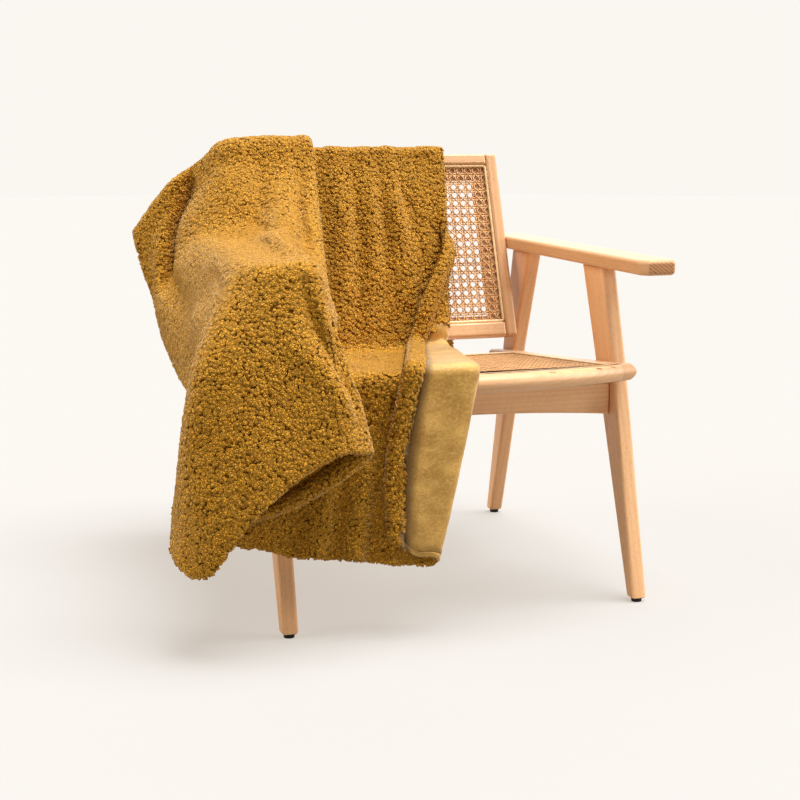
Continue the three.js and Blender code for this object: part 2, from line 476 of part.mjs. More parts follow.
// origin: middle of the footprint, on the floor
part.updateMatrixWorld(true);
const box = new THREE.Box3().setFromObject(part, true);
const middle = box.getCenter(new THREE.Vector3());
part.position.set(-middle.x, -middle.y, -box.min.z);

export default part;
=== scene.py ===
# %% [markdown]
# # A sherpa fleece throw over a low cane chair
# The throw is two cloths sewn back to back: a curly sherpa outside and a smooth plush inside.
# It lies over the back, the left arm and the seat of a light wooden chair with cane panels.
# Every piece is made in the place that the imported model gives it, in metres.

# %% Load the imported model
import json
import math

import bmesh
import bpy
import numpy as np
from mathutils import Matrix, Vector, noise

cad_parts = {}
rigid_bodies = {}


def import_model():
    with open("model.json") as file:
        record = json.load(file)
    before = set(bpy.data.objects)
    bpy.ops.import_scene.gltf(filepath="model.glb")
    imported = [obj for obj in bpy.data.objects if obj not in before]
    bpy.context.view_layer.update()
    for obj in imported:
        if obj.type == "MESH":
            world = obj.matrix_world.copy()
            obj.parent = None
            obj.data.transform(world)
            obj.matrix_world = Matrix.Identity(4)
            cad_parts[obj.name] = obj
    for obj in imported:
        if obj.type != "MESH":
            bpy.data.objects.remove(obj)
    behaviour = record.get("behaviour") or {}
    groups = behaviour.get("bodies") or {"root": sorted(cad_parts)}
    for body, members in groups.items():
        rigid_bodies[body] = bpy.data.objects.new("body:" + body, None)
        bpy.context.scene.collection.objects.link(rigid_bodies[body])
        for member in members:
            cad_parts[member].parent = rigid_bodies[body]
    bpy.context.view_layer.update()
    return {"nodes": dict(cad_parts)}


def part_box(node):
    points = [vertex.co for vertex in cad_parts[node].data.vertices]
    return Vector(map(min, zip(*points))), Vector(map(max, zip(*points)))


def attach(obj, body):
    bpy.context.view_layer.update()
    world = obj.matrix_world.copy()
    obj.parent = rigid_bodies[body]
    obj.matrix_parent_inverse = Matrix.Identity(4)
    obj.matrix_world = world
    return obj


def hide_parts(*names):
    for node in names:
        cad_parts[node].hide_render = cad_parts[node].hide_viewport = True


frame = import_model()

# %% [markdown]
# ## The chair's own corner
# The chair was drawn in millimetres from the middle of its front feet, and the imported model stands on
# the middle of its whole footprint. Two nodes whose drawn place is known give the step between the two.
# The back panel, the seat and the bowed front rail are described again here, as they were drawn.

# %% From drawing millimetres to the frame's metres
MM = 0.001
GLIDE_Y = 5  # the front glides' middle in the drawing
BACK_Y, BACK_Z, BACK_HIGH, BACK_THICK, LEAN = 444, 380, 347, 24, math.radians(20.1)
SEAT_Y, SEAT_Z, SEAT_REAR, FALL = 85, 381, 430, 0.09
bow_front = lambda x: -53 + 92 * (x / 298) ** 2
top_rail, front_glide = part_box("back_rail_top"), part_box("glide_front_left")
STEP = np.array([
    (top_rail[0][0] + top_rail[1][0]) / 2 / MM,
    (front_glide[0][1] + front_glide[1][1]) / 2 / MM - GLIDE_Y,
    0,
])


def in_frame(points):
    """Drawing millimetres, as an array of points, turned into the frame's metres."""
    return (np.asarray(points, float) + STEP) * MM


def put(name, data):
    """A new object in the scene."""
    thing = bpy.data.objects.new(name, data)
    bpy.context.collection.objects.link(thing)
    return thing


print("step from drawing to frame, mm:", STEP.round(3))

# %% [markdown]
# ## Camera
# The camera stands where the photograph's vanishing lines put it, with a lens a little longer than normal.

# %% Camera
lens = bpy.data.cameras.new("photo_camera")
lens.lens, lens.sensor_width, lens.clip_end = 70.81, 36, 60
camera = put("photo_camera", lens)
camera.location = in_frame([-846.12, -2206.10, 767.57])
camera.rotation_euler = (math.radians(90 - 10.089), 0, math.radians(-18.325))
bpy.context.scene.camera = camera
bpy.context.scene.view_settings.view_transform = "Standard"
print("camera at", [round(v, 3) for v in camera.location])

# %% [markdown]
# ## A small language for nodes
# Node trees are easier to read as sentences. `Wire` holds one socket and turns +, - and * into Math nodes.
# `Bench.node` makes any other node: its type, its settings first, then what goes into its sockets.

# %% Node helpers
class Wire:
    """One output of a node, so that maths on it reads as an expression."""

    def __init__(self, bench, socket):
        self.bench, self.socket = bench, socket

    def maths(self, operation, *values):
        return self.bench.node("ShaderNodeMath", {"operation": operation}, dict(enumerate([self, *values])))

    def __add__(self, other):
        return self.maths("ADD", other)

    def __mul__(self, other):
        return self.maths("MULTIPLY", other)

    def __sub__(self, other):
        return self.maths("SUBTRACT", other)

    def __rsub__(self, other):
        return self.bench.node("ShaderNodeMath", {"operation": "SUBTRACT"}, {0: other, 1: self})

    __rmul__ = __mul__

    def band(self, low, high):
        """0 below low, 1 above high, smooth between."""
        return self.bench.node("ShaderNodeMapRange", {"interpolation_type": "SMOOTHSTEP"},
                               {"Value": self, "From Min": low, "From Max": high})


class Bench:
    """A node tree and the one way to put a node in it."""

    def __init__(self, tree):
        self.tree = tree

    def node(self, kind, settings=None, inputs=None, output=None):
        made = self.tree.nodes.new(kind)
        for name, value in (settings or {}).items():
            setattr(made, name, value)
        for name, value in (inputs or {}).items():
            by_number = isinstance(name, int)
            socket = made.inputs[name] if by_number else next(s for s in made.inputs if s.name == name and s.enabled)
            if isinstance(value, Wire):
                self.tree.links.new(value.socket, socket)
            else:
                socket.default_value = value
        outs = [s for s in made.outputs if s.enabled]
        if isinstance(output, tuple):
            return [Wire(self, made.outputs[name]) for name in output]
        return Wire(self, next(s for s in outs if s.name == output) if output else outs[0]) if outs else made

    def blend(self, a, b, factor, how="MIX"):
        """Two colours mixed or multiplied by a factor."""
        full = lambda c: (*c, 1) if isinstance(c, tuple) else c
        return self.node("ShaderNodeMix", {"data_type": "RGBA", "blend_type": how, "clamp_factor": True},
                         {"Factor": factor, "A": full(a), "B": full(b)})

    def dot(self, a, b):
        return self.node("ShaderNodeVectorMath", {"operation": "DOT_PRODUCT"}, {0: a, 1: b}, "Value")

    def scaled(self, vector, factor):
        return self.node("ShaderNodeVectorMath", {"operation": "SCALE"}, {0: vector, "Scale": factor})

    def sum(self, a, b):
        return self.node("ShaderNodeVectorMath", {"operation": "ADD"}, {0: a, 1: b})

    def split(self, vector):
        return self.node("ShaderNodeSeparateXYZ", {}, {0: vector}, ("X", "Y", "Z"))

    def noise(self, where, scale=1.0, detail=2.0, rough=0.5, twist=0.0, output=None):
        inputs = {"Scale": scale, "Detail": detail, "Roughness": rough, "Distortion": twist}
        if where is not None:
            inputs["Vector"] = where
        return self.node("ShaderNodeTexNoise", {"noise_dimensions": "3D"}, inputs, output)


class Finish(Bench):
    """A material on one glossy or soft shader, with the constants set straight on it."""

    def __init__(self, name, **constants):
        self.material = bpy.data.materials.new(name)
        self.material.use_nodes = True
        super().__init__(self.material.node_tree)
        self.tree.nodes.clear()
        self.shader = self.tree.nodes.new("ShaderNodeBsdfPrincipled")
        out = self.tree.nodes.new("ShaderNodeOutputMaterial")
        self.tree.links.new(self.shader.outputs[0], out.inputs["Surface"])
        for key, value in constants.items():
            self.shader.inputs[key.replace("_", " ")].default_value = value

    def feed(self, **wires):
        for key, wire in wires.items():
            self.tree.links.new(wire.socket, self.shader.inputs[key.replace("_", " ")])
        return self.material

    def coord(self, of):
        return self.node("ShaderNodeTexCoord", output=of)

    def stretch(self, where, scale):
        return self.node("ShaderNodeMapping", {}, {"Vector": where, "Scale": scale})

    def here(self, scale=(1, 1, 1), turn=(0, 0, 0), move=(0, 0, 0)):
        """The place on the piece, turned first and stretched after."""
        place = {"Vector": self.coord("Object"), "Rotation": turn, "Location": move}
        return self.stretch(self.node("ShaderNodeMapping", {}, place), scale)

    def attribute(self, name, output="Fac"):
        return self.node("ShaderNodeAttribute", {"attribute_name": name}, output=output)

    def bump(self, height, strength, distance, **more):
        return self.node("ShaderNodeBump", {}, {"Height": height, "Strength": strength, "Distance": distance, **more})


def linear(r, g, b):
    """A colour as a picture shows it, 0 to 255, turned into the light that a shader counts in."""
    return tuple(((v / 255 + 0.055) / 1.055) ** 2.4 if v > 10 else v / 255 / 12.92 for v in (r, g, b))


print("node helpers ready")

# %% [markdown]
# ## Light and floor
# Wide soft suns stand in for studio boxes: a strong one overhead, which makes everything that faces up
# bright, one from the left for the outer side of the throw, and a weak one from the right. Suns light a
# floor evenly, so it stays plain. A white wall of light stands far behind the chair, which gives its
# upper edges their pale rim. Only the camera sees the floor's own glow, which lifts the paper to white
# without filling the shade under the folds, and is warm, as shade is beside a golden cloth.

# %% Light and floor
# each sun: strength, lean away from straight down and direction round the chair, softness, colour
for name, strength, lean, round_it, softness, colour in (
    ("top_box", 5.6, 13, 60, 44, (1.0, 0.985, 0.96)),
    ("left_box", 1.8, 64, -98, 44, (1.0, 0.97, 0.93)),
    ("right_box", 1.9, 66, 76, 30, (1.0, 0.98, 0.96)),
):
    light = bpy.data.lights.new(name, "SUN")
    light.energy, light.angle, light.color = strength, math.radians(softness), colour
    put(name, light).rotation_euler = math.radians(lean), 0, math.radians(round_it)

PAPER, PAPER_GLOW = linear(250, 247, 241), (0.51, 0.445, 0.385)
PAPER_LIT, PAPER_SEEN = (0.31, 0.295, 0.27), (0.184, 0.2, 0.209)
world = bpy.data.worlds.new("studio")
bpy.context.scene.world = world
world.use_nodes = True
world.node_tree.nodes.clear()
studio = Bench(world.node_tree)
seen = studio.node("ShaderNodeBackground", {}, {"Color": (*PAPER, 1), "Strength": 1.0})
behind = studio.dot(studio.node("ShaderNodeTexCoord", output="Generated"), (0.31, 0.95, 0.0))
wall = behind.band(0.55, 1.0)
fill = studio.node("ShaderNodeBackground", {}, {"Color": (1.0, 0.98, 0.95, 1), "Strength": wall * 2.2 + 0.15})
ray = studio.node("ShaderNodeLightPath", output="Is Camera Ray")
both = studio.node("ShaderNodeMixShader", {}, {0: ray, 1: fill, 2: seen})
studio.node("ShaderNodeOutputWorld", {}, {"Surface": both})

bpy.ops.mesh.primitive_circle_add(vertices=96, radius=14, fill_type="NGON")
floor = bpy.context.object
floor.name = "paper_floor"
paper = Finish("paper", Roughness=0.9, Specular_IOR_Level=0.0, Emission_Strength=1.0)
ray = paper.node("ShaderNodeLightPath", output="Is Camera Ray")
floor.data.materials.append(paper.feed(Base_Color=paper.blend(PAPER_LIT, PAPER_SEEN, ray),
                                       Emission_Color=paper.blend((0.0, 0.0, 0.0), PAPER_GLOW, ray)))

# %% [markdown]
# ## Making a mesh a piece
# Each finished piece sits at the origin with its place in its mesh, rides on the one body and hides
# the imported nodes that it stands in for.

# %% Piece helpers
def mesh_of(name, points, faces, finish=None):
    """A smooth mesh object from arrays of points and faces."""
    mesh = bpy.data.meshes.new(name)
    mesh.from_pydata([tuple(p) for p in np.asarray(points, float)], [], [tuple(int(i) for i in f) for f in faces])
    if finish is not None:
        mesh.materials.append(finish)
    mesh.polygons.foreach_set("use_smooth", [True] * len(mesh.polygons))
    return put(name, mesh)


def triangles(thing):
    thing.data.calc_loop_triangles()
    return len(thing.data.loop_triangles)


def declare(thing, slot, *nodes):
    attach(thing, "root")
    if nodes:
        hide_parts(*nodes)
    print(f"{thing.name}: {triangles(thing)} triangles")
    return thing


def evaluated(thing):
    return bpy.data.meshes.new_from_object(thing.evaluated_get(bpy.context.evaluated_depsgraph_get()))


def grow(name, start, tree, values):
    """Runs a Geometry Nodes tree on start, which goes, and keeps the result as a plain mesh at the origin."""
    made = start.modifiers.new("grow", "NODES")
    made.node_group = tree
    given = [s for s in tree.interface.items_tree if s.item_type == "SOCKET" and s.in_out == "INPUT"]
    sockets = {s.name: s.identifier for s in given}
    for key, value in values.items():
        made[sockets[key]] = value
    bpy.context.view_layer.update()
    mesh = evaluated(start)
    start.modifiers.remove(made)
    bpy.data.objects.remove(start)
    mesh.name = name
    return put(name, mesh)


def new_tree(name, **sockets):
    """An empty Geometry Nodes tree with named inputs after its geometry. Gives its bench and the inputs as wires."""
    tree = bpy.data.node_groups.new(name, "GeometryNodeTree")
    tree.interface.new_socket("Geometry", in_out="OUTPUT", socket_type="NodeSocketGeometry")
    for label, kind in {"Geometry": "Geometry", **sockets}.items():
        tree.interface.new_socket(label, in_out="INPUT", socket_type="NodeSocket" + kind)
    bench = Bench(tree)
    start = tree.nodes.new("NodeGroupInput")
    return bench, {s.name: Wire(bench, s) for s in start.outputs if s.name}


def close_tree(bench, shape, finish):
    """Every tree ends the same way: real geometry, smooth faces and the piece's finish."""
    real = bench.node("GeometryNodeRealizeInstances", {}, {"Geometry": shape})
    soft = bench.node("GeometryNodeSetShadeSmooth", {}, {"Geometry": real, "Shade Smooth": True})
    coated = bench.node("GeometryNodeSetMaterial", {}, {"Geometry": soft, "Material": finish})
    bench.node("NodeGroupOutput", {}, {"Geometry": coated})
    return bench.tree


print("piece helpers ready")

# %% [markdown]
# ## The light wood
# The chair is a pale close-grained hardwood under a satin finish. Solid wood shows the same growth
# rings on every face: long faint lines along a board and curved bands on its cut end. So the colour
# is worked out inside the block, as rings round an axis beside the board, and each board's finish
# knows which way its fibres run. Fine short pores and slow changes of tone go over it. Last, each
# board's colour is multiplied by a level of painted light. Below 1 it is painted shade on the rails,
# arms and stiles, whose upper faces the overhead lamp lights most. Above 1 it is painted light on the
# apron and legs, which face the front.

# %% Wood
def light_wood(name, grain, pith, painted_light_level, rings_per_m=45.0, joint=None):
    """grain is the direction that the fibres run in the frame; pith is where the rings' centre lies beside it.
    joint is where a second block is glued on across X, in metres."""
    f = Finish("wood_" + name, IOR=1.47)
    grain = Vector(grain).normalized()
    turn = tuple(grain.rotation_difference(Vector((1, 0, 0))).to_euler())
    wander = f.noise(f.here((1.3, 7, 7), turn))
    rings = f.node("ShaderNodeTexWave", {"wave_type": "RINGS", "rings_direction": "X", "wave_profile": "SIN"}, {
        "Vector": f.here((0.06, 1, 1), turn, pith), "Scale": rings_per_m, "Distortion": 2.4, "Detail": 2.0,
        "Detail Scale": 1.4}, output="Fac")
    streaks = f.noise(f.here((3, 150, 150), turn), 1.0, 3.0, 0.6)
    fibres = f.noise(f.here((18, 900, 900), turn), 1.0, 2.0, 0.6)
    pores = f.noise(f.here((160, 1500, 1500), turn), 1.0, 0.0).band(0.66, 0.74)
    cut_end = f.dot(f.coord("Normal"), tuple(grain)).maths("ABSOLUTE").band(0.72, 0.95)
    base = f.blend(linear(236, 190, 143), linear(222, 168, 118), wander.band(0.3, 0.7))
    darker = rings.band(0.25, 1.0) * 0.16 + streaks.band(0.45, 0.75) * 0.16 + fibres.band(0.5, 0.8) * 0.10
    base = f.blend(base, linear(196, 134, 84), darker)
    base = f.blend(base, linear(150, 92, 54), pores * 0.35 * (1 - cut_end))
    ends = f.blend(linear(206, 146, 98), linear(150, 92, 58), rings.band(0.3, 0.9))
    base = f.blend(base, ends, cut_end * 0.75)
    # the board's level of painted light: below 1 painted shade on boards facing the overhead lamp, above 1 painted
    # light on the front-facing apron and legs
    base = f.blend(base, (painted_light_level, painted_light_level, painted_light_level), 1.0, "MULTIPLY")
    if joint is not None:
        x, hair = f.split(f.coord("Object"))[0], 0.4 * MM
        past, line = x.band(joint, joint + hair), x.band(joint - 2 * hair, joint)
        base = f.blend(base, linear(206, 150, 104), past * 0.6)
        base = f.blend(base, linear(140, 90, 56), line * (1 - x.band(joint, joint + 2 * hair)) * 0.7)
    rough = streaks * 0.12 + 0.36 + cut_end * 0.2
    relief = f.bump(fibres * 0.5 + streaks * 0.5 - pores * 0.8, 0.18, 0.6 * MM)
    return f.feed(Base_Color=base, Roughness=rough, Normal=relief)


ACROSS, TO_REAR = (1, 0, 0), (0, 1, 0)
# each board: its fibres' direction, the rings' centre and its level of painted light, and for some a ring count and a
# glue joint
WOODS = {name: light_wood(name, *rest) for name, *rest in (
    ("across", ACROSS, (0.2, 0.09, -0.12), 0.92),
    ("apron", ACROSS, (0.2, 0.08, -0.1), 1.2),
    ("front_rail", ACROSS, (0.2, 0.12, -0.2), 0.94, 45.0, 0.3405),
    ("arms", TO_REAR, (0.0, 0.03, -0.09), 0.93, 70.0),
    ("side", (0, 1, -FALL), (0.0, 0.12, 0.1), 0.96),
    ("front_legs", (0, 0.29, 0.957), (0.0, 0.1, 0.14), 1.1),
    ("rear_legs", (0, -0.266, 0.964), (0.0, 0.08, 0.12), 1.2),
    ("stiles", (0, math.sin(LEAN), math.cos(LEAN)), (0.0, 0.09, 0.1), 0.92),
)}
print("woods:", list(WOODS))

# %% [markdown]
# ## The chair's boards
# Each board is cut with a chamfer along every edge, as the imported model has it. A sander rounds what a
# plane leaves, so each is copied, merged into one skin and given a small round on every crease. The
# front rail's chamfers are wide, and rounded together they make its bull nose.

# %% Boards
FLAT, CREASE = math.radians(0.3), math.radians(24)  # facets that are one flat face, and bends that are rounded


def sanded(node, finish, soft):
    """A copy of a packed board with its creases rounded by soft metres."""
    mesh = frame["nodes"][node].data.copy()
    shape = bmesh.new()
    shape.from_mesh(mesh)
    bmesh.ops.remove_doubles(shape, verts=shape.verts, dist=1e-5)
    bmesh.ops.dissolve_limit(shape, angle_limit=FLAT, verts=shape.verts, edges=shape.edges)
    shape.to_mesh(mesh)
    shape.free()
    mesh.materials.clear()
    mesh.materials.append(finish)
    mesh.polygons.foreach_set("use_smooth", [True] * len(mesh.polygons))
    board = put("sanded_" + node, mesh)
    round_over = board.modifiers.new("round", "BEVEL")
    round_over.width, round_over.segments = soft, 3
    round_over.limit_method, round_over.angle_limit = "ANGLE", CREASE
    board.modifiers.new("even", "WEIGHTED_NORMAL").keep_sharp = False
    rounded = evaluated(board)
    board.modifiers.clear()
    board.data = rounded
    return declare(board, "wood", node)


for nodes, wood, soft in (
    ("arm_left arm_right", "arms", 2.4),
    ("leg_front_left leg_front_right", "front_legs", 2.0),
    ("leg_rear_left leg_rear_right", "rear_legs", 2.0),
    ("seat_rail_front", "front_rail", 4.5),
    ("seat_rail_rear", "across", 1.6),
    ("seat_apron", "apron", 1.6),
    ("seat_rail_left seat_rail_right", "side", 1.6),
    ("back_rail_top back_rail_bottom", "across", 1.6),
    ("back_stile_left back_stile_right", "stiles", 1.8),
):
    for node in nodes.split():
        sanded(node, WOODS[wood], soft * MM)

# %% [markdown]
# ## Rubber glides
# A small black rubber foot is pinned under each leg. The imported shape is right, so it only gets a finish:
# near black, dull, with a fine moulded grain.

# %% Glides
f = Finish("black_rubber", Specular_IOR_Level=0.35)
grain = f.noise(f.here(), 900, 3.0)
f.feed(Base_Color=f.blend(linear(24, 22, 21), linear(46, 43, 41), grain.band(0.4, 0.7)),
       Roughness=grain * 0.2 + 0.6, Normal=f.bump(grain, 0.3, 0.4 * MM))
for name, node in frame["nodes"].items():
    if name.startswith("glide"):
        node.data.materials[0] = f.material
        print(name, "gets black rubber")

# %% [markdown]
# ## Woven cane
# Six-way cane has pairs of upright strands, pairs of level strands and single strands along both
# diagonals, which leave an eight-sided hole about 8 mm wide every 15.5 mm. Everything repeats with the
# hole, so one cell is built as a mesh, with each strand passing over one neighbour and under the next,
# and Geometry Nodes set a copy on each hole's centre. The edge is pressed into a groove, so
# the outer cells run on into the wood.

# %% One cell of the weave
PITCH = 15.5 * MM


def strand(points, width, thick):
    """A reed through points: four-sided, closed at both ends, its flat side up."""
    points = np.asarray(points, float)
    way = points[-1] - points[0]
    side = np.array([-way[1], way[0], 0.0])
    side *= width / 2 / np.linalg.norm(side)
    up = np.array([0, 0, thick / 2])
    ring = np.concatenate([[p + side, p + up, p - side, p - up] for p in points])
    last = 4 * (len(points) - 1)
    faces = [(i + k, i + k + 4, i + (k + 1) % 4 + 4, i + (k + 1) % 4) for i in range(0, last, 4) for k in range(4)]
    return ring, faces + [(0, 1, 2, 3), (last + 3, last + 2, last + 1, last)]


def cane_cell():
    half, beside, wave = PITCH / 2, PITCH / 2 - 1.95 * MM, 0.5 * MM
    pair, single = (2.5 * MM, 1.0 * MM), (2.3 * MM, 0.9 * MM)  # width and thickness of a strand
    reeds = []
    for s in (-1, 1):
        reeds.append(([(s * beside, -half, -wave), (s * beside, 0, wave), (s * beside, half, -wave)], pair))
        reeds.append(([(-half, s * beside, wave), (0, s * beside, -wave), (half, s * beside, wave)], pair))
        for t in (-1, 1):
            over = 0.25 * MM * s * t
            reeds.append(([(s * half, 0, -1.2 * wave + over), (0, t * half, 1.2 * wave + over)], single))
    points, faces = [], []
    for place, size in reeds:
        ring, sides = strand(place, *size)
        faces += [tuple(i + len(points) for i in f) for f in sides]
        points += [tuple(p) for p in ring]
    return mesh_of("cane_cell", points, faces)


cell = cane_cell()
print("cell:", triangles(cell), "triangles")

# %% Straw finish
def straw(name, pale, warm, dark):
    f = Finish(name, IOR=1.5, Coat_Weight=0.15, Coat_Roughness=0.25)
    slow, fast = f.noise(f.here(), 60, 3.0, 0.6), f.noise(f.here(), 700, 2.0, 0.6)
    colour = f.blend(linear(*pale), linear(*warm), slow.band(0.35, 0.7))
    colour = f.blend(colour, linear(*dark), fast.band(0.5, 0.75) * 0.6)
    return f.feed(Base_Color=colour, Roughness=fast * 0.2 + 0.35, Normal=f.bump(fast, 0.25, 0.4 * MM))


CANE = straw("cane_straw", (226, 178, 122), (206, 148, 92), (158, 98, 54))
BEAD = straw("cane_bead", (240, 212, 160), (228, 190, 136), (196, 146, 96))
print("cane finishes:", CANE.name, BEAD.name)

# %% The weave's tree
bench, given = new_tree("weave", Cell="Object", Finish="Material")
unit = bench.node("GeometryNodeObjectInfo", {"transform_space": "ORIGINAL"}, {"Object": given["Cell"]}, "Geometry")
rows = bench.node("GeometryNodeInstanceOnPoints", {}, {"Points": given["Geometry"], "Instance": unit})
WEAVE = close_tree(bench, rows, given["Finish"])


def woven(name, centres, place, deep, node):
    """Cane over the given hole centres, which lie in a panel's own plane, put deep metres below it."""
    start = mesh_of(name + "_holes", [(x, y, 0) for x, y in centres], [])
    panel = grow(name, start, WEAVE, {"Cell": cell, "Finish": CANE})
    panel.data.transform(place @ Matrix.Translation((0, 0, -deep)))
    return declare(panel, "cane", node)


def centres(x0, x1, y0, y1, keep=lambda x, y: True):
    """Hole centres on the weave's pitch, evenly about the middle of a panel."""
    xs, ys = ([(low + high) / 2 + (i - (count - 1) / 2) * PITCH for i in range(count)]
              for low, high, count in ((x0, x1, round((x1 - x0) / PITCH)), (y0, y1, round((y1 - y0) / PITCH))))
    return [(x, y) for y in ys for x in xs if keep(x, y)]


def placed(origin, turn):
    """The matrix of a panel's own plane: its origin in drawing millimetres and its turn about X."""
    return Matrix.Translation(in_frame(origin)) @ Matrix.Rotation(turn, 4, "X")


# the back: panel plane with X across and Y up the back; the seat: X across and Y to the rear, cut to the bowed rail
back_place = placed((0, BACK_Y, BACK_Z), math.pi / 2 - LEAN)
woven("back_weave", centres(-0.2384, 0.2384, 0.026, 0.327), back_place, 6.5 * MM, "back_cane")
seat_place = placed((0, SEAT_Y, SEAT_Z), -math.atan(FALL))
bow = lambda x: (bow_front(x / MM) - SEAT_Y) * MM
seat_holes = centres(-0.2467, 0.2467, -0.1340, 0.3465, lambda x, y: y > bow(x) + 0.012)
woven("seat_weave", seat_holes, seat_place, 2.6 * MM, "seat_cane")

# %% [markdown]
# ## Bead and rebate
# A split reed is glued over the groove, so the edge of the weave is hidden: a thin pale line round the
# panel. Behind the outer holes the frame has a narrow wooden lip that carries the groove, which is why
# the outermost holes look dark.

# %% The bead's tree
BEAD_WIDE, BEAD_HIGH = 5.2 * MM, 3 * MM
bench, given = new_tree("sweep", Width="Float", Height="Float", Finish="Material")
path = bench.node("GeometryNodeMeshToCurve", {}, {"Mesh": given["Geometry"]})
up = bench.node("GeometryNodeSetCurveNormal", {"mode": "Z_UP"}, {"Curve": path})
section = bench.node("GeometryNodeCurvePrimitiveCircle", {"mode": "RADIUS"}, {"Resolution": 8, "Radius": 0.5}, "Curve")
size = bench.node("ShaderNodeCombineXYZ", {}, {"X": given["Width"], "Y": given["Height"], "Z": 1.0})
section = bench.node("GeometryNodeTransform", {}, {"Geometry": section, "Scale": size})
swept = bench.node("GeometryNodeCurveToMesh", {}, {"Curve": up, "Profile Curve": section, "Fill Caps": True})
SWEEP = close_tree(bench, swept, given["Finish"])


def bead(name, loop, place):
    """Sweeps a rounded section along a closed loop of points in a panel's own plane."""
    mesh = bpy.data.meshes.new(name + "_path")
    mesh.from_pydata(loop, [(i, (i + 1) % len(loop)) for i in range(len(loop))], [])
    piece = grow(name, put(name + "_path", mesh), SWEEP, {"Width": BEAD_WIDE, "Height": BEAD_HIGH, "Finish": BEAD})
    piece.data.transform(place)
    return declare(piece, "cane")


def round_corner(x, y, first, r=0.004):
    """Four points round a corner of a rectangle about the panel's middle line, from the angle first."""
    sx, sy = (1 if first in (0, 270) else -1), (1 if first in (0, 90) else -1)
    turns = [math.radians(first + 30 * k) for k in range(4)]
    return [(x - sx * r + r * math.cos(a), y - sy * r + r * math.sin(a), -0.0044) for a in turns]


x, low, high = 0.2362, 0.0285, 0.3245
bead("back_bead", round_corner(x, high, 0) + round_corner(-x, high, 90) + round_corner(-x, low, 180)
     + round_corner(x, low, 270), back_place)
side, rear = 0.2442, 0.3432
front_line = [(x, bow(x) + 0.0193, -0.0010) for x in np.linspace(-side, side, 33)]
bead("seat_bead", front_line + [(side, rear, -0.0006), (-side, rear, -0.0006)], seat_place)

# %% The rebate's lips
def lip(name, outline, top, thick, place, finish):
    """A wooden strip with rounded edges: its outline in the panel's plane, its top's height and its thickness."""
    count = len(outline)
    points = [(x, y, z) for z in (top, top - thick) for x, y in outline]
    faces = [tuple(range(count)), tuple(range(2 * count - 1, count - 1, -1))]
    faces += [(i, count + i, count + (i + 1) % count, (i + 1) % count) for i in range(count)]
    strip = mesh_of(name, points, faces, WOODS[finish])
    shape = bmesh.new()
    shape.from_mesh(strip.data)
    bmesh.ops.recalc_face_normals(shape, faces=shape.faces)
    sharp = [e for e in shape.edges if e.calc_face_angle(0) > 0.5]
    bmesh.ops.bevel(shape, geom=sharp, offset=1.2 * MM, segments=2, affect="EDGES")
    shape.to_mesh(strip.data)
    shape.free()
    strip.data.set_sharp_from_angle(angle=math.radians(35))
    strip.data.transform(place)
    return declare(strip, "wood")


def straight_lip(name, x0, x1, y0, y1, *rest):
    lip(name, [(x0, y0), (x1, y0), (x1, y1), (x0, y1)], *rest)


INWARD = 12.5 * MM
back_half, seat_half, low, high = 0.2384, 0.2464, 0.027, 0.326
inner = back_half - 0.0295
back_lip = (-0.0092, 0.008, back_place)
straight_lip("back_lip_right", inner, back_half, low, high, *back_lip, "stiles")
straight_lip("back_lip_left", -back_half, -inner, low, high, *back_lip, "stiles")
straight_lip("back_lip_top", -inner, inner, high - 0.026, high, *back_lip, "across")
straight_lip("back_lip_bottom", -inner, inner, low, low + INWARD, *back_lip, "across")
seat_lip = (-0.0052, 0.01, seat_place)
bowed = [(x, bow(x) + 0.0275) for x in np.linspace(-seat_half, seat_half, 25)]
lip("seat_lip_front", bowed + [(x, y + INWARD) for x, y in bowed[::-1]], *seat_lip, "across")
start = bow(0.24) + 0.042
straight_lip("seat_lip_right", seat_half - INWARD, seat_half, start, 0.345, *seat_lip, "side")
straight_lip("seat_lip_left", -seat_half, INWARD - seat_half, start, 0.345, *seat_lip, "side")

# %% [markdown]
# ## The drape: one surface between the two cloths
# A draped throw is easiest to describe by the lines that a hand would lay along it: its hems, its folds
# and the ridges and hollows of each ripple. Each line runs from the rear hem, over the top rail or the
# slope beside it, down to the crease, over the seat or the arm, and down to the front hem. Its
# points name what they lie on. Smooth curves run through the lines both ways. This is the surface
# where the two cloths are sewn together, in drawing millimetres.

# %% What the throw lies on
REST = 5  # from the chair to the seam surface
back_front = np.array([0, -math.cos(LEAN), math.sin(LEAN)])
back_up = np.array([0, math.sin(LEAN), math.cos(LEAN)])
seat_top = lambda y: SEAT_Z - FALL * (y - SEAT_Y)


def length(v):
    return float(np.linalg.norm(v))


def toward(v):
    v = np.asarray(v, float)
    return v / (length(v) or 1)


def on_back(x, z, out):
    """On the back at height z, out from its front face."""
    s = (z - BACK_Z - out * back_front[2]) / back_up[2]
    return (x, BACK_Y + s * back_up[1] + out * back_front[1], z)


def on_seat(x, y, out):
    return (x, y, seat_top(y) + out)


def seat_corner(x, out):
    return on_seat(x, BACK_Y - out / math.cos(LEAN) - (BACK_Z - seat_top(SEAT_REAR) - out) * math.tan(LEAN), out)


def front_corner(x, out):
    return (x, bow_front(x) - out, seat_top(bow_front(x)) + out)


def over_rail(x, lift):
    """Over the top rail: behind, rear edge, top, front edge and in front, each with the way that the cloth runs."""
    out = REST + lift
    corner = np.array([x, BACK_Y + BACK_HIGH * back_up[1], BACK_Z + BACK_HIGH * back_up[2]])
    rear = corner - BACK_THICK * back_front
    return [
        ((x, rear[1] + out, rear[2] - 16), (0, 0, 1)),
        (rear + (out + 1) * toward(back_up - back_front), toward(back_up + back_front)),
        (corner - BACK_THICK / 2 * back_front + (out + 1) * back_up, back_front),
        (corner + (out + 1) * toward(back_up + back_front), toward(back_front - back_up)),
        (corner - 10 * back_up + out * back_front, -back_up),
    ]


print("top rail's front edge at", (np.array([0, BACK_Y, BACK_Z]) + BACK_HIGH * back_up).round(1))

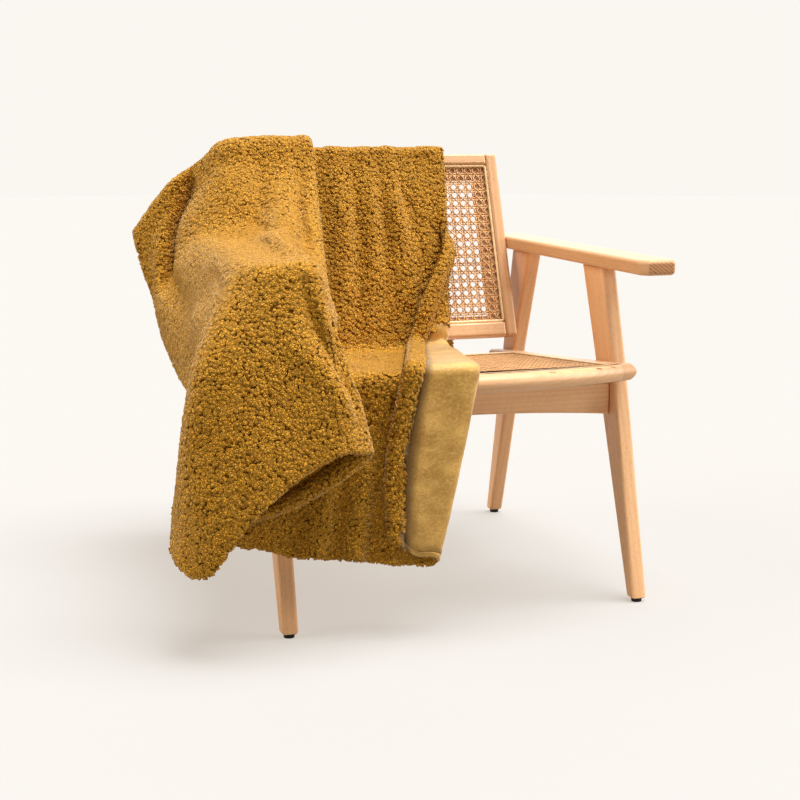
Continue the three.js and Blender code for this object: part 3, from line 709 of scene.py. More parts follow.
# %% The lines, from the right hem to the left
# On the chair, each line's rear hem and the middle of its way down behind; over the top rail, x and lift; in the
# middle of the back, x and out; further down the back, one or two places by x, z and out; x and out in the crease,
# in the middle of the seat and at the front edge; and hanging in front, its middle, its lower part and its end.
ON_CHAIR = {
    "right hem": ((190, 604, 335), (172, 602, 520), (150, 0), (140, 13), [(124, 543, 28), (73, 446, 24)], (38, 20),
        (-40, 20), (-126, 19), (-150, -52, 300), (-157, -54, 225), (-152, -56, 158)),
    "hem seam": ((169, 605, 334), (151, 603, 520), (130, 1), (124, 7), [(147, 541, 17), (95, 445, 26)], (60, 21),
        (-18, 22), (-104, 21), (-124, -60, 298), (-134, -62, 220), (-134, -63, 146)),
    "turned margin": ((148, 605, 333), (130, 603, 520), (109, 1), (103, 5), [(137, 539, 5), (112, 444, 22)],
        (82, 20), (4, 22), (-78, 21), (-98, -66, 296), (-110, -66, 214), (-114, -66, 130)),
    "right fold": ((124, 602, 331), (108, 600, 519), (87, 0), (84, 5), [(112, 537, 5), (121, 442, 13)], (116, 13),
        (54, 13), (-13, 13), (-35, -65, 300), (-54, -65, 210), (-77, -66, 118)),
    "under the margin": ((100, 598, 329), (86, 598, 518), (66, 0), (64, 5), [(88, 536, 5), (92, 441, 5)], (70, 5),
        (0, 5), (-66, 6.5), (-90, -51, 298), (-102, -50, 205), (-114, -46, 113)),
    "first ripple": ((72, 612, 328), (62, 606, 518), (46, 3), (46, 16), [(52, 470, 12)], (20, 6), (-40, 6),
        (-104, 6), (-130, -48, 297), (-140, -50, 205), (-148, -52, 118)),
    "first hollow": ((46, 599, 327), (38, 599, 518), (24, 0), (24, 5), [(14, 470, 5)], (-8, 5), (-66, 5), (-130, 5),
        (-155, -34, 297), (-166, -32, 206), (-176, -30, 119)),
    "second ripple": ((16, 614, 326), (10, 607, 517), (0, 2), (0, 15), [(-14, 470, 11)], (-36, 6), (-92, 6),
        (-156, 6), (-180, -38, 297), (-191, -42, 207), (-202, -44, 126)),
    "second hollow": ((-14, 599, 325), (-20, 599, 517), (-28, 0), (-27, 5), [(-40, 470, 5)], (-62, 5), (-118, 5),
        (-180, 5), (-204, -24, 297), (-216, -22, 208), (-228, -20, 124)),
    "third ripple": ((-46, 614, 323), (-50, 607, 516), (-56, 2), (-54, 17), [(-64, 470, 12)], (-88, 6), (-142, 6),
        (-204, 6), (-228, -26, 298), (-242, -28, 210), (-255, -30, 130)),
    "third hollow": ((-78, 599, 321), (-82, 599, 516), (-86, 0), (-84, 5), [(-94, 470, 5)], (-116, 5), (-168, 5),
        (-228, 5), (-254, -14, 300), (-270, -12, 213), (-286, -10, 130)),
    "under the swath": ((-145, 604, 319), (-150, 602, 515), (-158, 2), (-155, 9), [(-162, 470, 9)], (-178, 9),
        (-208, 9), (-257, 9), (-290, -8, 305), (-311, -8, 224), (-333, -8, 145)),
    "left hidden fold": ((-205, 604, 316), (-215, 604, 514), (-225, 6.5), (-222, 12), [(-228, 470, 12)], (-236, 12),
        (-243, 12), (-284, 12), (-326, -6, 312), (-352, -8, 236), (-380, -12, 164)),
}
# Beside it and over the arm, the same places as points: rear hem, behind, top rail (or again x and lift), back, its
# lower part, crease, arm or seat, near the front edge where that isn't halfway, front edge and the three in front.
OFF_CHAIR = {
    "hidden layer": ((-150, 624, 312), (-160, 616, 515), (-165, 13.5), (-178, 490, 606), (-200, 392, 508),
        (-222, 300, 430), (-234, 112, 430), None, (-258, -22, 428), (-270, -34, 360), (-274, -46, 292),
        (-278, -58, 223)),
    "front fold": ((-108, 634, 308), (-112, 622, 516), (-106, 17), (-120, 456, 614), (-146, 330, 543),
        (-180, 190, 505), (-207, 62, 485), (-214, 22, 474), (-240, -50, 464), (-221, -68, 404), (-202, -74, 345),
        (-189, -78, 286)),
    "inner hollow": ((-134, 644, 304), (-138, 630, 515), (-130, 20.5), (-142, 462, 616), (-168, 352, 558),
        (-202, 216, 528), (-226, 76, 522), (-230, 28, 514), (-243, -40, 512), (-238, -66, 436), (-216, -84, 364),
        (-204, -96, 297)),
    "inner ridge": ((-158, 656, 300), (-164, 636, 514), (-158, 22), (-172, 440, 620), (-200, 338, 578),
        (-236, 205, 565), (-249, 60, 564), (-251, 10, 564), (-266, -54, 562), (-250, -78, 452), (-232, -94, 376),
        (-224, -106, 303)),
    "middle of the arm": ((-196, 646, 294), (-212, 636, 512), (-208, 20.5), (-220, 484, 630), (-234, 450, 586),
        (-262, 402, 562), (-288, 170, 562), (-294, 60, 561), (-300, -51, 562), (-312, -80, 450), (-297, -96, 366),
        (-280, -108, 283)),
    "outer part of the arm": ((-226, 654, 291), (-243, 640, 511), (-240, 18), (-248, 496, 650), (-264, 466, 600),
        (-292, 440, 563), (-312, 190, 562), (-322, 70, 561), (-334, -42, 560), (-366, -74, 440), (-374, -94, 330),
        (-372, -106, 212)),
    "outer edge of the arm": ((-252, 652, 288), (-268, 640, 508), (-260, 13), (-274, 530, 668), (-298, 500, 608),
        (-324, 486, 560), (-336, 240, 556), (-349, 120, 554), (-362, 2, 548), (-424, -54, 430), (-450, -60, 290),
        (-444, -76, 130)),
    "shoulder": ((-268, 668, 288), (-292, 654, 503), (-283, 589, 708), (-294, 564, 646), (-324, 540, 598),
        (-352, 502, 522), (-358, 290, 498), (-364, 160, 500), (-386, 48, 492), (-428, -8, 400), (-453, -36, 262),
        (-458, -64, 137)),
    "valley": ((-274, 664, 293), (-306, 660, 498), (-303, 606, 690), (-312, 606, 624), (-338, 586, 572),
        (-353, 546, 492), (-362, 310, 462), (-384, 170, 462), (-392, 62, 446), (-426, 22, 352), (-453, -16, 240),
        (-463, -55, 143)),
    "fin ridge": ((-290, 672, 302), (-325, 668, 490), (-328, 600, 676), (-347, 582, 608), (-367, 562, 558),
        (-380, 528, 474), (-374, 320, 416), (-378, 190, 408), (-402, 84, 396), (-418, 52, 310), (-452, 6, 222),
        (-466, -44, 150)),
    "left hem": ((-326, 664, 322), (-364, 656, 468), (-413, 611, 577), (-404, 592, 519), (-385, 566, 455),
        (-381, 500, 395), (-382, 350, 352), (-384, 240, 336), (-404, 126, 318), (-416, 84, 250), (-450, 26, 196),
        (-462, -8, 166)),
}
FOLDED = ("right fold", "left hidden fold", "front fold")
TURNED = [9] * 12 + [14] + [28] * 11  # how far the outer cloth is turned over at each line's end
STEPS = [1, 1, 2, 1, 1, 1, 1, 1, 1, 1, 1, 1, 2, 2, 1, 1, 2, 2, 2, 2, 2, 2, 2, 1]  # strips to the next line
STRIPS = [3, 3, 1, 1, 1, 1, 2, 1, 2, 1, 1, 1, 2, 2, 1, 1, 1, 2, 2, 2]  # and down each line, from station to station
BACK_MIDDLE, SEAT_MIDDLE = 600, 190  # the height and the depth of those places
RAIL_BEND, CREASE_BEND, EDGE_BEND = 22, 26, 17
SIDE_HEM, END_HEM = 28, 9
NAMES = [*ON_CHAIR, *OFF_CHAIR]
print("lines:", len(NAMES))

# %% Smooth curves through the lines
class Thread:
    """A smooth curve through points in order. A point may say which way the cloth runs there."""

    def __init__(self, points, runs=()):
        self.p = np.array(points, float)
        step = np.diff(self.p, axis=0)
        self.d = np.maximum(np.linalg.norm(step, axis=1), 1e-6)
        slope = step / self.d[:, None]
        self.t = np.empty_like(self.p)
        self.t[0], self.t[-1] = slope[0], slope[-1]
        share = (self.d[1:] / (self.d[:-1] + self.d[1:]))[:, None]
        self.t[1:-1] = slope[1:] + (slope[:-1] - slope[1:]) * share
        for i, run in enumerate(runs):
            if run is not None:
                self.t[i] = run

    def at(self, s):
        s = np.asarray(s, float)
        i = np.clip(np.floor(s).astype(int), 0, len(self.p) - 2)
        t = (s - i)[:, None]
        d = self.d[i][:, None]
        return ((2 * t**3 - 3 * t**2 + 1) * self.p[i] + (t**3 - 2 * t**2 + t) * d * self.t[i]
                + (3 * t**2 - 2 * t**3) * self.p[i + 1] + (t**3 - t**2) * d * self.t[i + 1])

    def hem(self, width, from_end=False):
        """Places across a hem: its edge, its rounding, its width, its seam and where the inner cloth starts."""
        m, seam = min(4, width / 3), 0.35
        ways = [0, 0.25 * m, 0.6 * m, m, m + (width - m) / 3, m + (width - m) * 2 / 3, width, width + seam, width + 1]
        s = np.arange(0, len(self.p) - 1 + 0.01, 0.02)
        if from_end:
            s = s[::-1]
        way = np.concatenate([[0], np.cumsum(np.linalg.norm(np.diff(self.at(s), axis=0), axis=1))])
        found = np.interp(ways, way, s)
        return found[::-1] if from_end else found

    def marks(self, steps, near, far, first):
        """Every place on the curve where the cloth gets a row of points."""
        stops = [near[-1], *range(first, len(self.p) - 1), far[0]]
        inner = []
        for i in range(len(stops) - 1):
            count = steps[min(first + i - 1 if i else 0, len(steps) - 1)]
            inner += [stops[i] + (stops[i + 1] - stops[i]) * k / count for k in range(0 if i else 1, count)]
        return np.array([*near, *inner, *far])


def middle(a, b):
    return tuple((np.array(a) + np.array(b)) / 2)


def soften(before, at, after, r, count=3):
    """A sharp bend made into points on a soft one, each with the way that the cloth runs there."""
    before, at, after = (np.asarray(v, float) for v in (before, at, after))
    into, out = toward(at - before), toward(after - at)
    ts = [i / (count - 1) for i in range(count)]
    return [(at - into * r * (1 - t) ** 2 + out * r * t**2, toward(into * (1 - t) + out * t)) for t in ts]


def laid_line(name):
    """All points of a line, from the rear hem to the front one, each with the way that the cloth runs, or None."""
    if name in ON_CHAIR:
        rear_hem, rear_mid, rail, (x, out), low, crease, seat, edge, *hang = ON_CHAIR[name]
        back_mid = on_back(x, BACK_MIDDLE, out)
        *turn, back_low = (on_back(*place) for place in low)
        crease, mid, edge = seat_corner(*crease), on_seat(seat[0], SEAT_MIDDLE, seat[1]), front_corner(*edge)
        turn, near = turn[0] if turn else middle(back_mid, back_low), middle(mid, edge)
    else:
        rear_hem, rear_mid, rail, back_mid, back_low, crease, mid, near, edge, *hang = OFF_CHAIR[name]
        turn, near = middle(back_mid, back_low), near or middle(mid, edge)
    rail = over_rail(*rail) if len(rail) == 2 else soften(rear_mid, rail, back_mid, RAIL_BEND, 5)
    free = lambda *points: [(p, None) for p in points]
    return (free(rear_hem, rear_mid) + rail + free(back_mid, turn, back_low)
            + soften(back_low, crease, mid, CREASE_BEND) + free(mid, near)
            + soften(near, edge, hang[0], EDGE_BEND) + free(*hang))


TIGHT, LOOSE = 3.75, 9  # a fold's least and greatest radius


def round_fold(before, at, after):
    """A fold's point turned into a half-round of five, as wide as its two layers stand apart."""
    before, point, after = (np.asarray(v[0], float) for v in (before, at, after))
    into, out = toward(point - before), toward(after - point)
    along_fold = toward(into + out)
    angle = math.acos(max(-1, min(1, float(into @ out))))
    room = 0.42 * min(length(point - before), length(after - point))
    r = max(TIGHT, min(LOOSE, room, abs(float((after - before) @ along_fold)) / 2))
    rho = math.pi * r / max(angle, 0.02)
    centre = toward(out - into)
    return [(point + along_fold * rho * math.sin(k * angle / 2) + centre * rho * (1 - math.cos(k * angle / 2)), at[1])
            for k in (-1, -0.5, 0, 0.5, 1)]


laid = [laid_line(name) for name in NAMES]
columns, line_of, steps_of, turned_of = [], [], [], []
FINE = 4  # steps of the grid to a step of the tables
for i, line in enumerate(laid):
    if NAMES[i] in FOLDED:
        arcs = [round_fold(laid[i - 1][k], q, laid[i + 1][k]) for k, q in enumerate(line)]
        columns += [[arc[f] for arc in arcs] for f in range(5)]
        line_of += [i + (f - 2) * 0.08 for f in range(5)]
        steps_of += [2, 2, 2, 2, STEPS[i] * FINE]
        turned_of += [TURNED[i]] * 5
    else:
        columns.append(line)
        line_of.append(i)
        steps_of.append(STEPS[i] * FINE)
        turned_of.append(TURNED[i])
print("columns with the folds rounded:", len(columns))

# %% The surface as a grid
down_threads = []
for column, turned in zip(columns, turned_of):
    thread = Thread(*zip(*column))
    s = thread.marks([k * FINE for k in STRIPS], thread.hem(END_HEM), thread.hem(turned, True), 1)
    down_threads.append((thread.at(s), s))
station = np.median([s for _, s in down_threads], axis=0)
rows, across_places = [], []
for r in range(len(station)):
    thread = Thread([points[r] for points, _ in down_threads])
    s = thread.marks(steps_of, thread.hem(SIDE_HEM), thread.hem(SIDE_HEM, True), 2)
    rows.append(thread.at(s))
    across_places.append(s)
line_at = np.interp(np.median(across_places, axis=0), range(len(columns)), line_of)
cloth = np.array(rows)
ROWS, COLS = cloth.shape[:2]


def outward(surface):
    """The direction that the curly side faces, at each point of the grid."""
    pad = np.pad(surface, ((1, 1), (1, 1), (0, 0)), mode="edge")
    normal = np.cross(pad[1:-1, 2:] - pad[1:-1, :-2], pad[2:, 1:-1] - pad[:-2, 1:-1])
    return normal / np.maximum(np.linalg.norm(normal, axis=2, keepdims=True), 1e-9)


gaps_down, gaps_across = (np.linalg.norm(np.diff(cloth, axis=axis), axis=2) for axis in (0, 1))
print("grid", ROWS, "x", COLS, "| length", round(float(np.median(gaps_down.sum(0)))), "mm | width",
      round(float(np.median(gaps_across.sum(1)))), "mm")

# %% [markdown]
# ## Small unevenness
# A thick cloth never lies quite smooth: it keeps slow dents a hand wide from how it was folded. A slow
# noise over the flat cloth lifts the surface outwards by about 2 mm at most, so nothing sinks into the chair.

# %% Dents
v_mm = np.concatenate([[0], np.cumsum(np.median(gaps_down, axis=1))])
u_mm = np.concatenate([[0], np.cumsum(np.median(gaps_across, axis=0))])


def dent(u, v):
    return (0.5 + 0.5 * noise.noise(Vector((u / 55, v / 80, 3.1)))
            + 0.25 * noise.noise(Vector((u / 24, v / 30, 7.7))))


DENT = 2.0  # mm
rise = np.array([[dent(u, v) for u in u_mm] for v in v_mm])
cloth = cloth + outward(cloth) * (np.clip(rise, 0, 1.2) * DENT)[..., None]
print("dents up to", round(float(rise.max() * DENT), 1), "mm; flat cloth", round(float(u_mm[-1])), "x",
      round(float(v_mm[-1])), "mm")

# %% [markdown]
# ## Small folds
# Between the lines of the drape the real cloth has a few shallow folds of its own. Each is drawn as a
# short path over the flat cloth, by line and station as in the tables above, and pushes the
# surface in or out by a few millimetres with soft sides and tapered ends.

# %% Folds pushed in and out
# a station counts the points down a line: 2-6 the top rail, 7 the middle of the back, 10-12 the crease,
# 15-17 the front edge, 20 the end hem
SMALL_FOLDS = {  # push, width and path
    "hollow beside the arm's inner ridge": (-8, 13,
        [(16.62, 16.6), (16.45, 17.2), (16.3, 17.7), (16.05, 18.1), (15.8, 18.5), (15.5, 19.0)]),
    "ridge on its right": (4, 9, [(16.2, 16.8), (16.05, 17.4), (15.9, 17.8), (15.65, 18.2), (15.4, 18.6)]),
    "ridge on its left": (5, 14,
        [(17.0, 17.5), (16.85, 17.9), (16.6, 18.2), (16.4, 18.5), (16.1, 19.0), (15.9, 19.5)]),
    "hollow above the arm": (-6, 13, [(16.8, 5.6), (16.75, 7.5), (16.7, 9.6)]),
    "rib above the arm": (4, 8, [(15.75, 5.6), (15.7, 7.5), (15.75, 9.4), (15.9, 10.2)]),
    "second rib": (3, 10, [(17.6, 6.0), (17.5, 7.6), (17.35, 9.0)]),
    "fold down the outer side": (4, 9, [(18.6, 15.0), (18.7, 17.0), (18.7, 19.0)]),
    "second fold down the outer side": (-5, 9, [(19.4, 13.5), (19.5, 16.0), (19.4, 19.2)]),
    "corner of the arm": (5, 12, [(18.05, 16.2), (18.05, 17.6), (18.1, 19.0), (18.2, 20.0)]),
    "pucker in the crease": (4, 9, [(8.2, 12.2), (7.0, 12.6), (5.8, 13.3)]),
    "second pucker": (3, 10, [(9.4, 12.6), (8.4, 13.6), (7.6, 14.6)]),
    "valley that the rolled hem lies in": (-7, 8,
        [(1.8, 7.6), (2.3, 8.0), (3.5, 8.5), (4.36, 9.0), (4.42, 9.5), (4.55, 10.0), (4.62, 11.0), (4.7, 12.0)]),
    "shadow under the last plush flap": (7, 6, [(0.8, 10.5), (1.5, 10.6), (2.2, 10.65), (3.2, 10.7)]),
    "plush flap": (-11, 9, [(0.9, 10.0), (1.8, 9.92), (2.9, 9.8)]),
    "rolled hem above the seat": (-9, 12, [(0.2, 7.8), (0.3, 8.6), (0.5, 9.3), (0.7, 10.0), (0.6, 11.5)]),
    "ridge in the plush": (-9, 11, [(1.75, 16.6), (1.7, 18.2), (1.75, 19.0), (2.2, 19.8)]),
    "hollow beside it": (5, 8, [(1.2, 15.5), (1.2, 17.5), (1.25, 19.2)]),
}


def push_folds(surface):
    """The surface with every small fold pushed in or out along its outward direction."""
    where = np.stack(np.meshgrid(u_mm, v_mm), 2)
    amount = np.zeros(surface.shape[:2])
    for push, wide, path in SMALL_FOLDS.values():
        path = np.array([(np.interp(l, line_at, u_mm), np.interp(s, station, v_mm)) for l, s in path])
        way = np.concatenate([[0], np.cumsum(np.linalg.norm(np.diff(path, axis=0), axis=1))])
        for i in range(len(path) - 1):
            a, ab = path[i], path[i + 1] - path[i]
            t = np.clip(((where - a) @ ab) / (ab @ ab), 0, 1)
            far = np.linalg.norm(where - a - t[..., None] * ab, axis=2)
            taper = np.sin(math.pi * np.clip((way[i] + t * length(ab)) / way[-1], 0.02, 0.98)) ** 0.6
            here = push * taper * np.exp(-(far / wide) ** 2)
            amount = np.where(np.abs(here) > np.abs(amount), here, amount) if i else amount + here
    return surface + outward(surface) * amount[..., None]


cloth = push_folds(cloth)
facing = outward(cloth)
print("small folds:", len(SMALL_FOLDS))

# %% [markdown]
# ## The two cloths
# Each cloth is a closed skin: the surface moved outwards by one amount and inwards by another, joined
# at the rim. The sherpa's backing reaches over the hems and shows as a border on the inside. Its rim
# is rounded row by row, because a turned hem is a soft roll. The curls come later, on top.

# %% Skins
def corners(at):
    """The four corners of every cell of a grid, in order round it."""
    return at[:-1, :-1], at[:-1, 1:], at[1:, 1:], at[1:, :-1]


def skin(name, outer, inner, edge, finish, other, elsewhere):
    """A closed skin between two offsets of the surface, edge points in from its rim, with its flat place
    in metres as a UV map. Where the mask elsewhere says so, its faces get the other finish."""
    within = slice(edge, ROWS - edge), slice(edge, COLS - edge)
    part, face = cloth[within], facing[within]
    rows, cols = part.shape[:2]
    n = rows * cols
    points = [(part + face * offset[within][..., None]).reshape(-1, 3) for offset in (outer, inner)]
    at = np.arange(n).reshape(rows, cols)
    a, b, d, e = (x.ravel() for x in corners(at))
    quads = [np.stack([a, b, d, e], 1), np.stack([a, e, d, b], 1) + n]
    for rim in (at[0], at[::-1, 0], at[-1, ::-1], at[:, -1]):
        quads.append(np.stack([rim[:-1], rim[:-1] + n, rim[1:] + n, rim[1:]], 1))
    thing = mesh_of(name, in_frame(np.concatenate(points)), np.concatenate(quads), finish)
    thing.data.materials.append(other)
    cells = elsewhere[edge:ROWS - 1 - edge, edge:COLS - 1 - edge].astype(int)
    slots = np.concatenate([cells.ravel(), cells.ravel(), cells[0], cells[::-1, 0], cells[-1, ::-1], cells[:, -1]])
    thing.data.polygons.foreach_set("material_index", slots)
    u, v = np.meshgrid(u_mm[within[1]] * MM, v_mm[within[0]] * MM)
    flat = np.stack([u.ravel(), v.ravel()], 1)
    layer = thing.data.uv_layers.new(name="cloth")
    points_of = np.empty(len(thing.data.loops), int)
    thing.data.loops.foreach_get("vertex_index", points_of)
    layer.data.foreach_set("uv", flat[points_of % n].ravel())
    return thing


r, c = np.indices((ROWS, COLS))
from_hem = np.minimum(np.minimum(r, ROWS - 1 - r), np.minimum(c, COLS - 1 - c))
by_hem = lambda *offsets: np.array(offsets)[np.minimum(from_hem, len(offsets) - 1)]  # the last one holds further in
BACKING = 3.6
sherpa_out = by_hem(0.8, 2.5, 3.2, 3.5, BACKING)
sherpa_in = by_hem(-0.8, -2.0, -2.6, -2.8, -2.8, -2.8, -2.8, 0.15)
# above the seat and in front of it the side hem shows its turned border, and there it is a thick soft roll
SIDE_ROLL, ROLL_FROM = np.array([1.5, 3.5, 5.5, 6.5, 8, 6.5, 2, 0]), [8.2, 9]
roll = np.interp(station[:, None], ROLL_FROM, [0, 1]) * SIDE_ROLL[np.minimum(c, 7)]
roll = np.where((c < 7) & (station[:, None] > ROLL_FROM[0]), roll, 0)
# and so is the end hem at the corner over the arm, which is its lip
CORNER_ROLL = np.array([2, 5, 8, 10, 12, 10, 4, 0])
corner = (station[:, None] > 17) & (line_at > 11.5) & (line_at < 17.5)
corner_roll = np.where(corner, CORNER_ROLL[np.minimum(ROWS - 1 - r, 7)], 0)
sherpa_in = sherpa_in - roll - corner_roll
plush_out, plush_in = (np.full((ROWS, COLS), out) for out in (-0.15, -2.65))
print("from the seam surface, mm:", sherpa_in.min(), "to", sherpa_out.max())

# %% [markdown]
# ## Sherpa finish
# Sherpa is a knitted backing with long curly pile, brushed and steamed into small clumps. The eye reads
# it as lit tops with thin dark gaps. The gaps get real shade between the modelled curls and painted shade
# as well: the backing is painted a darker brown, each curl is painted darker towards its root, and thin
# winding creases over both are painted darker. Pile scatters light as one soft surface, so the top of a curl
# is shaded mostly by the lie of the cloth under it and only its sides by their own roundness. A sheen gives
# the pale veil that pile has when it is seen along the surface.

# %% Sherpa
def sherpa(name, curls):
    f = Finish(name, Roughness=0.7, Specular_IOR_Level=0.2 if curls else 0.04, Sheen_Weight=0.5 if curls else 0.0,
               Sheen_Roughness=0.35, Sheen_Tint=(1.0, 0.84, 0.55, 1))
    slow, fine = f.noise(f.here(), 22, 2.0), f.noise(f.here(), 900, 3.0, 0.65, 0.6)
    winding = f.scaled(f.noise(f.here(), 260.0, 0.0, output="Color"), 0.003)
    # thin winding creases between clumps: they shape the bump, and the colour below paints them darker, as painted
    # shade
    crease = f.node("ShaderNodeTexVoronoi", {"feature": "DISTANCE_TO_EDGE"},
                    {"Vector": f.sum(f.here(), winding), "Scale": 265.0}, output="Distance").band(0.02, 0.3)
    height = crease * 0.8 + fine * 0.4
    if curls:
        # painted shade: each curl darker towards its root, where the gaps between curls lie
        colour = f.blend(linear(155, 103, 10), linear(219, 155, 37), f.attribute("rise").band(0.2, 0.9))
        colour = f.blend(colour, linear(240, 180, 56), f.attribute("shade").band(0.35, 1.0) * 0.28)
        colour = f.blend(colour, linear(180, 122, 20), slow.band(0.55, 0.8) * 0.2)
        # painted shade along the creases between clumps
        colour = f.blend(linear(92, 57, 1), colour, crease * 0.6 + 0.4)
        lie, own = f.attribute("lie", "Vector"), f.coord("Normal")
        on_top = f.dot(lie, own).band(0.2, 0.8) * 0.8
        between = f.sum(f.scaled(lie, on_top), f.scaled(own, 1 - on_top))
        between = f.node("ShaderNodeVectorMath", {"operation": "NORMALIZE"}, {0: between})
        relief = f.bump(height, 0.6, 2 * MM, Normal=between)
    else:
        # the backing is painted a darker brown than the curls, as painted shade in the gaps between them, and darker
        # still along the creases
        colour = f.blend(linear(112, 72, 3), linear(172, 116, 18), crease)
        relief = f.bump(height, 0.6, 1 * MM)
    return f.feed(Base_Color=colour, Normal=relief)


SHERPA_BACKING, SHERPA_CURLS = sherpa("sherpa_backing", False), sherpa("sherpa_curls", True)
print("sherpa finishes:", SHERPA_BACKING.name, SHERPA_CURLS.name)

# %% [markdown]
# ## Plush finish
# The inner cloth is a short even pile that lies one way. Where a hand has brushed it back it looks
# lighter or darker, in soft patches with streaks along the nap, and its bends catch a bright sheen.
# Along the seam it is painted darker, as painted shade where the rolled sherpa border meets it.

# %% Plush
f = Finish("plush", Specular_IOR_Level=0.55, Sheen_Weight=0.6, Sheen_Roughness=0.35, Sheen_Tint=(1.0, 0.97, 0.9, 1))
flat = f.coord("UV")
patch = f.noise(f.stretch(flat, (46, 26, 1)), 1.0, 4.0, 0.62)
hair = f.noise(f.stretch(flat, (520, 260, 1)), 1.0, 3.0, 0.7)
colour = f.blend(linear(170, 124, 42), linear(214, 166, 82), patch.band(0.3, 0.72))
colour = f.blend(colour, linear(236, 196, 120), hair.band(0.5, 0.75) * 0.5)
colour = f.blend(colour, linear(126, 86, 22), (1 - hair).band(0.5, 0.75) * 0.45)
IN_SEAM = 8  # points of the grid from the rim to the seam
seam = float(u_mm[IN_SEAM]) * MM
# painted shade along the seam: darkest at the seam, gone 12 mm from it
beside = f.split(flat)[0].band(seam + 3 * MM, seam + 12 * MM)
colour = f.blend(linear(84, 52, 2), colour, beside * 0.75 + 0.25)
relief = f.bump(patch * 0.5 + hair * 0.5, 0.6, 2.2 * MM)
PLUSH = f.feed(Base_Color=colour, Roughness=0.72 - 0.25 * patch, Normal=relief)
print("plush finish:", PLUSH.name)

# %% Both cloths
lines, stations = np.meshgrid((line_at[1:] + line_at[:-1]) / 2, (station[1:] + station[:-1]) / 2)


def cells(line_from, line_to, station_from, station_to):
    """The cells of the grid between two lines and two stations."""
    return (lines > line_from) & (lines < line_to) & (stations > station_from) & (stations < station_to)


# the plush wraps over the end hem of the turned margin, and the sherpa of the border is
# wide where the hem is rolled above the seat and inside the lip of the corner over the arm
plush_end = (lines > 0.9) & (lines < 3.2) & (np.arange(ROWS - 1)[:, None] > ROWS - 12)
rolled = cells(-1, 3.3, 7.2, 9.75 + 0.1 * (3 - lines)) | cells(11.5, 16.8, 18.6, 99)
throw = skin("sherpa_cloth", sherpa_out, sherpa_in, 0, SHERPA_BACKING, PLUSH, plush_end)
declare(throw, "sherpa", "throw_sherpa")
lining = skin("plush_lining", plush_out, plush_in, IN_SEAM, PLUSH, SHERPA_BACKING, rolled)
declare(lining, "plush", "throw_plush")

# %% [markdown]
# ## Curls
# Tens of thousands of soft lumps cover the sherpa. Each is a small bent bean with a flat top.
# Geometry Nodes scatter points on the cloth with a least distance between them, which spaces
# them as evenly as knitted loops, stand a bean on each, and turn it by a slow noise plus a little chance,
# because neighbouring curls are brushed the same way. Where two layers are pressed
# together out of sight there are none, which keeps the model light.

# %% The curls' tree
bench, given = new_tree("curls", Spacing="Float", Length="Float", Width="Float", Height="Float", Seed="Int",
                        Finish="Material")


def store(geometry, name, value, kind="FLOAT", domain="POINT"):
    return bench.node("GeometryNodeStoreNamedAttribute", {"data_type": kind, "domain": domain},
                      {"Geometry": geometry, "Name": name, "Value": value})


def chance(low, high, seed, kind="FLOAT"):
    return bench.node("FunctionNodeRandomValue", {"data_type": kind}, {"Min": low, "Max": high, "Seed": seed})


dots, stand, lie = bench.node(
    "GeometryNodeDistributePointsOnFaces", {"distribute_method": "POISSON"},
    {"Mesh": given["Geometry"], "Distance Min": given["Spacing"], "Seed": given["Seed"], "Density Max": 160000},
    ("Points", "Rotation", "Normal"))
dots = store(dots, "lie", lie, "FLOAT_VECTOR")
bean = bench.node("GeometryNodeMeshUVSphere", {}, {"Segments": 4, "Rings": 3, "Radius": 1.0}, output="Mesh")
px, py, pz = bench.split(bench.node("GeometryNodeInputPosition"))
bent = bench.node("ShaderNodeCombineXYZ", {}, {
    "X": px * given["Length"] * 0.55,
    "Y": (py + px * px * 0.5 - 0.18) * given["Width"] * 0.55,
    "Z": ((pz * 1.1).maths("MINIMUM", 0.85) + 0.15) * given["Height"],
})
# how high each point stands on its curl; the finish paints the low part darker, as painted shade at the root
bean = store(bean, "rise", pz.band(-0.5, 1.0))
bean = bench.node("GeometryNodeSetPosition", {}, {"Geometry": bean, "Position": bent})
brushed = bench.noise(None, 38.0, 1.0) * 22.0 + chance(-1.0, 1.0, 11)
quarter = bench.node("FunctionNodeAxisAngleToRotation", {}, {"Axis": (0, 0, 1), "Angle": brushed})
turned = {"Rotation": stand, "Rotate By": quarter}
stand = bench.node("FunctionNodeRotateRotation", {"rotation_space": "LOCAL"}, turned)
clump = bench.noise(None, 120.0, 0.0).band(0.3, 0.6) * 0.2 + 0.88
big = bench.scaled(chance((0.88, 0.88, 0.7), (1.2, 1.2, 1.3), 12, "FLOAT_VECTOR"), clump)
each = {"Points": dots, "Instance": bean, "Rotation": stand, "Scale": big}
curls = bench.node("GeometryNodeInstanceOnPoints", {}, each)
curls = store(curls, "shade", chance(0.0, 1.0, 13), domain="INSTANCE")
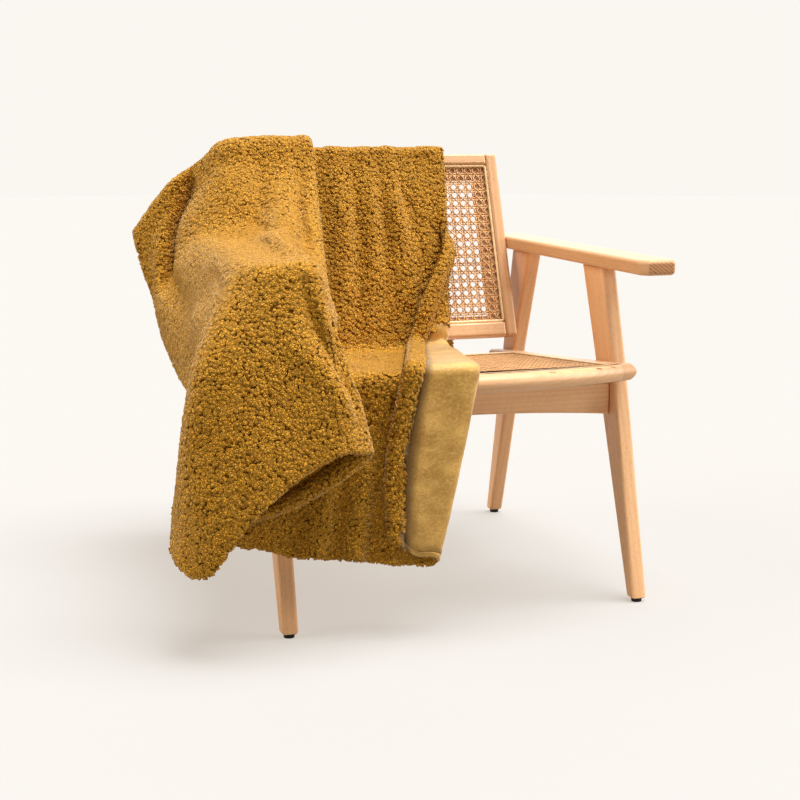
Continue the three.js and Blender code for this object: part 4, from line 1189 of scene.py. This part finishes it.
CURLS = close_tree(bench, curls, given["Finish"])
print("curls' tree:", len(CURLS.nodes), "nodes")

# %% Where the pile shows
BORDER = 6  # cells that the turned border takes
under_swath, inside_margin = cells(11.5, 13.6, 4, 17), cells(1.5, 3.0, 11, 19.4)
under_margin = cells(3.0, 4.3, 11, 19.4)
shows = ~(under_swath | inside_margin | under_margin)
row, column = np.indices(shows.shape)
hem_cell = np.minimum(np.minimum(row, column), np.minimum(ROWS - 2 - row, COLS - 2 - column))
wide_border = (column < IN_SEAM) & (stations > 10)
bordered = ((hem_cell < BORDER) | rolled | wide_border) & ~plush_end
print("cells with pile:", int(shows.sum()), "of", shows.size)


def pile_patch(name, first, last, inside):
    """The part of the cloth's skin between two stations that carries curls: its outer side, or its turned border."""
    pick = (bordered if inside else shows) & (stations >= first) & (stations < last)
    offset = np.minimum(sherpa_in, plush_in) if inside else sherpa_out
    a, b, d, e = (x[pick] for x in corners(np.arange(ROWS * COLS).reshape(ROWS, COLS)))
    faces = np.stack([a, e, d, b] if inside else [a, b, d, e], 1)
    return mesh_of(name, in_frame((cloth + facing * offset[..., None]).reshape(-1, 3)), faces)


BEAN_FACES = 16  # triangles of one curl
curl_pieces = []
for seed, (name, first, last, height) in enumerate((
    ("curls_rear", 0, 4.5, 3.2), ("curls_back", 4.5, 11, 3.2), ("curls_seat", 11, 16, 3.2),
    ("curls_front", 16, 21, 3.2), ("curls_border", 0, 21, 2.6),
), 1):
    patch = pile_patch(name + "_patch", first, last, name == "curls_border")
    sizes = {"Spacing": 4.3 * MM, "Length": 11.0 * MM, "Width": 9.0 * MM, "Height": height * MM}
    piece = grow(name, patch, CURLS, {**sizes, "Seed": seed, "Finish": SHERPA_CURLS})
    curl_pieces.append(declare(piece, "sherpa"))
print("curls in all:", sum(triangles(p) for p in curl_pieces) // BEAN_FACES)

# %% Sizes and the end
bpy.data.objects.remove(cell)
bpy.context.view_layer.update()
print("triangles in all:", sum(triangles(o) for o in bpy.data.objects if o.type == "MESH" and not o.hide_render))
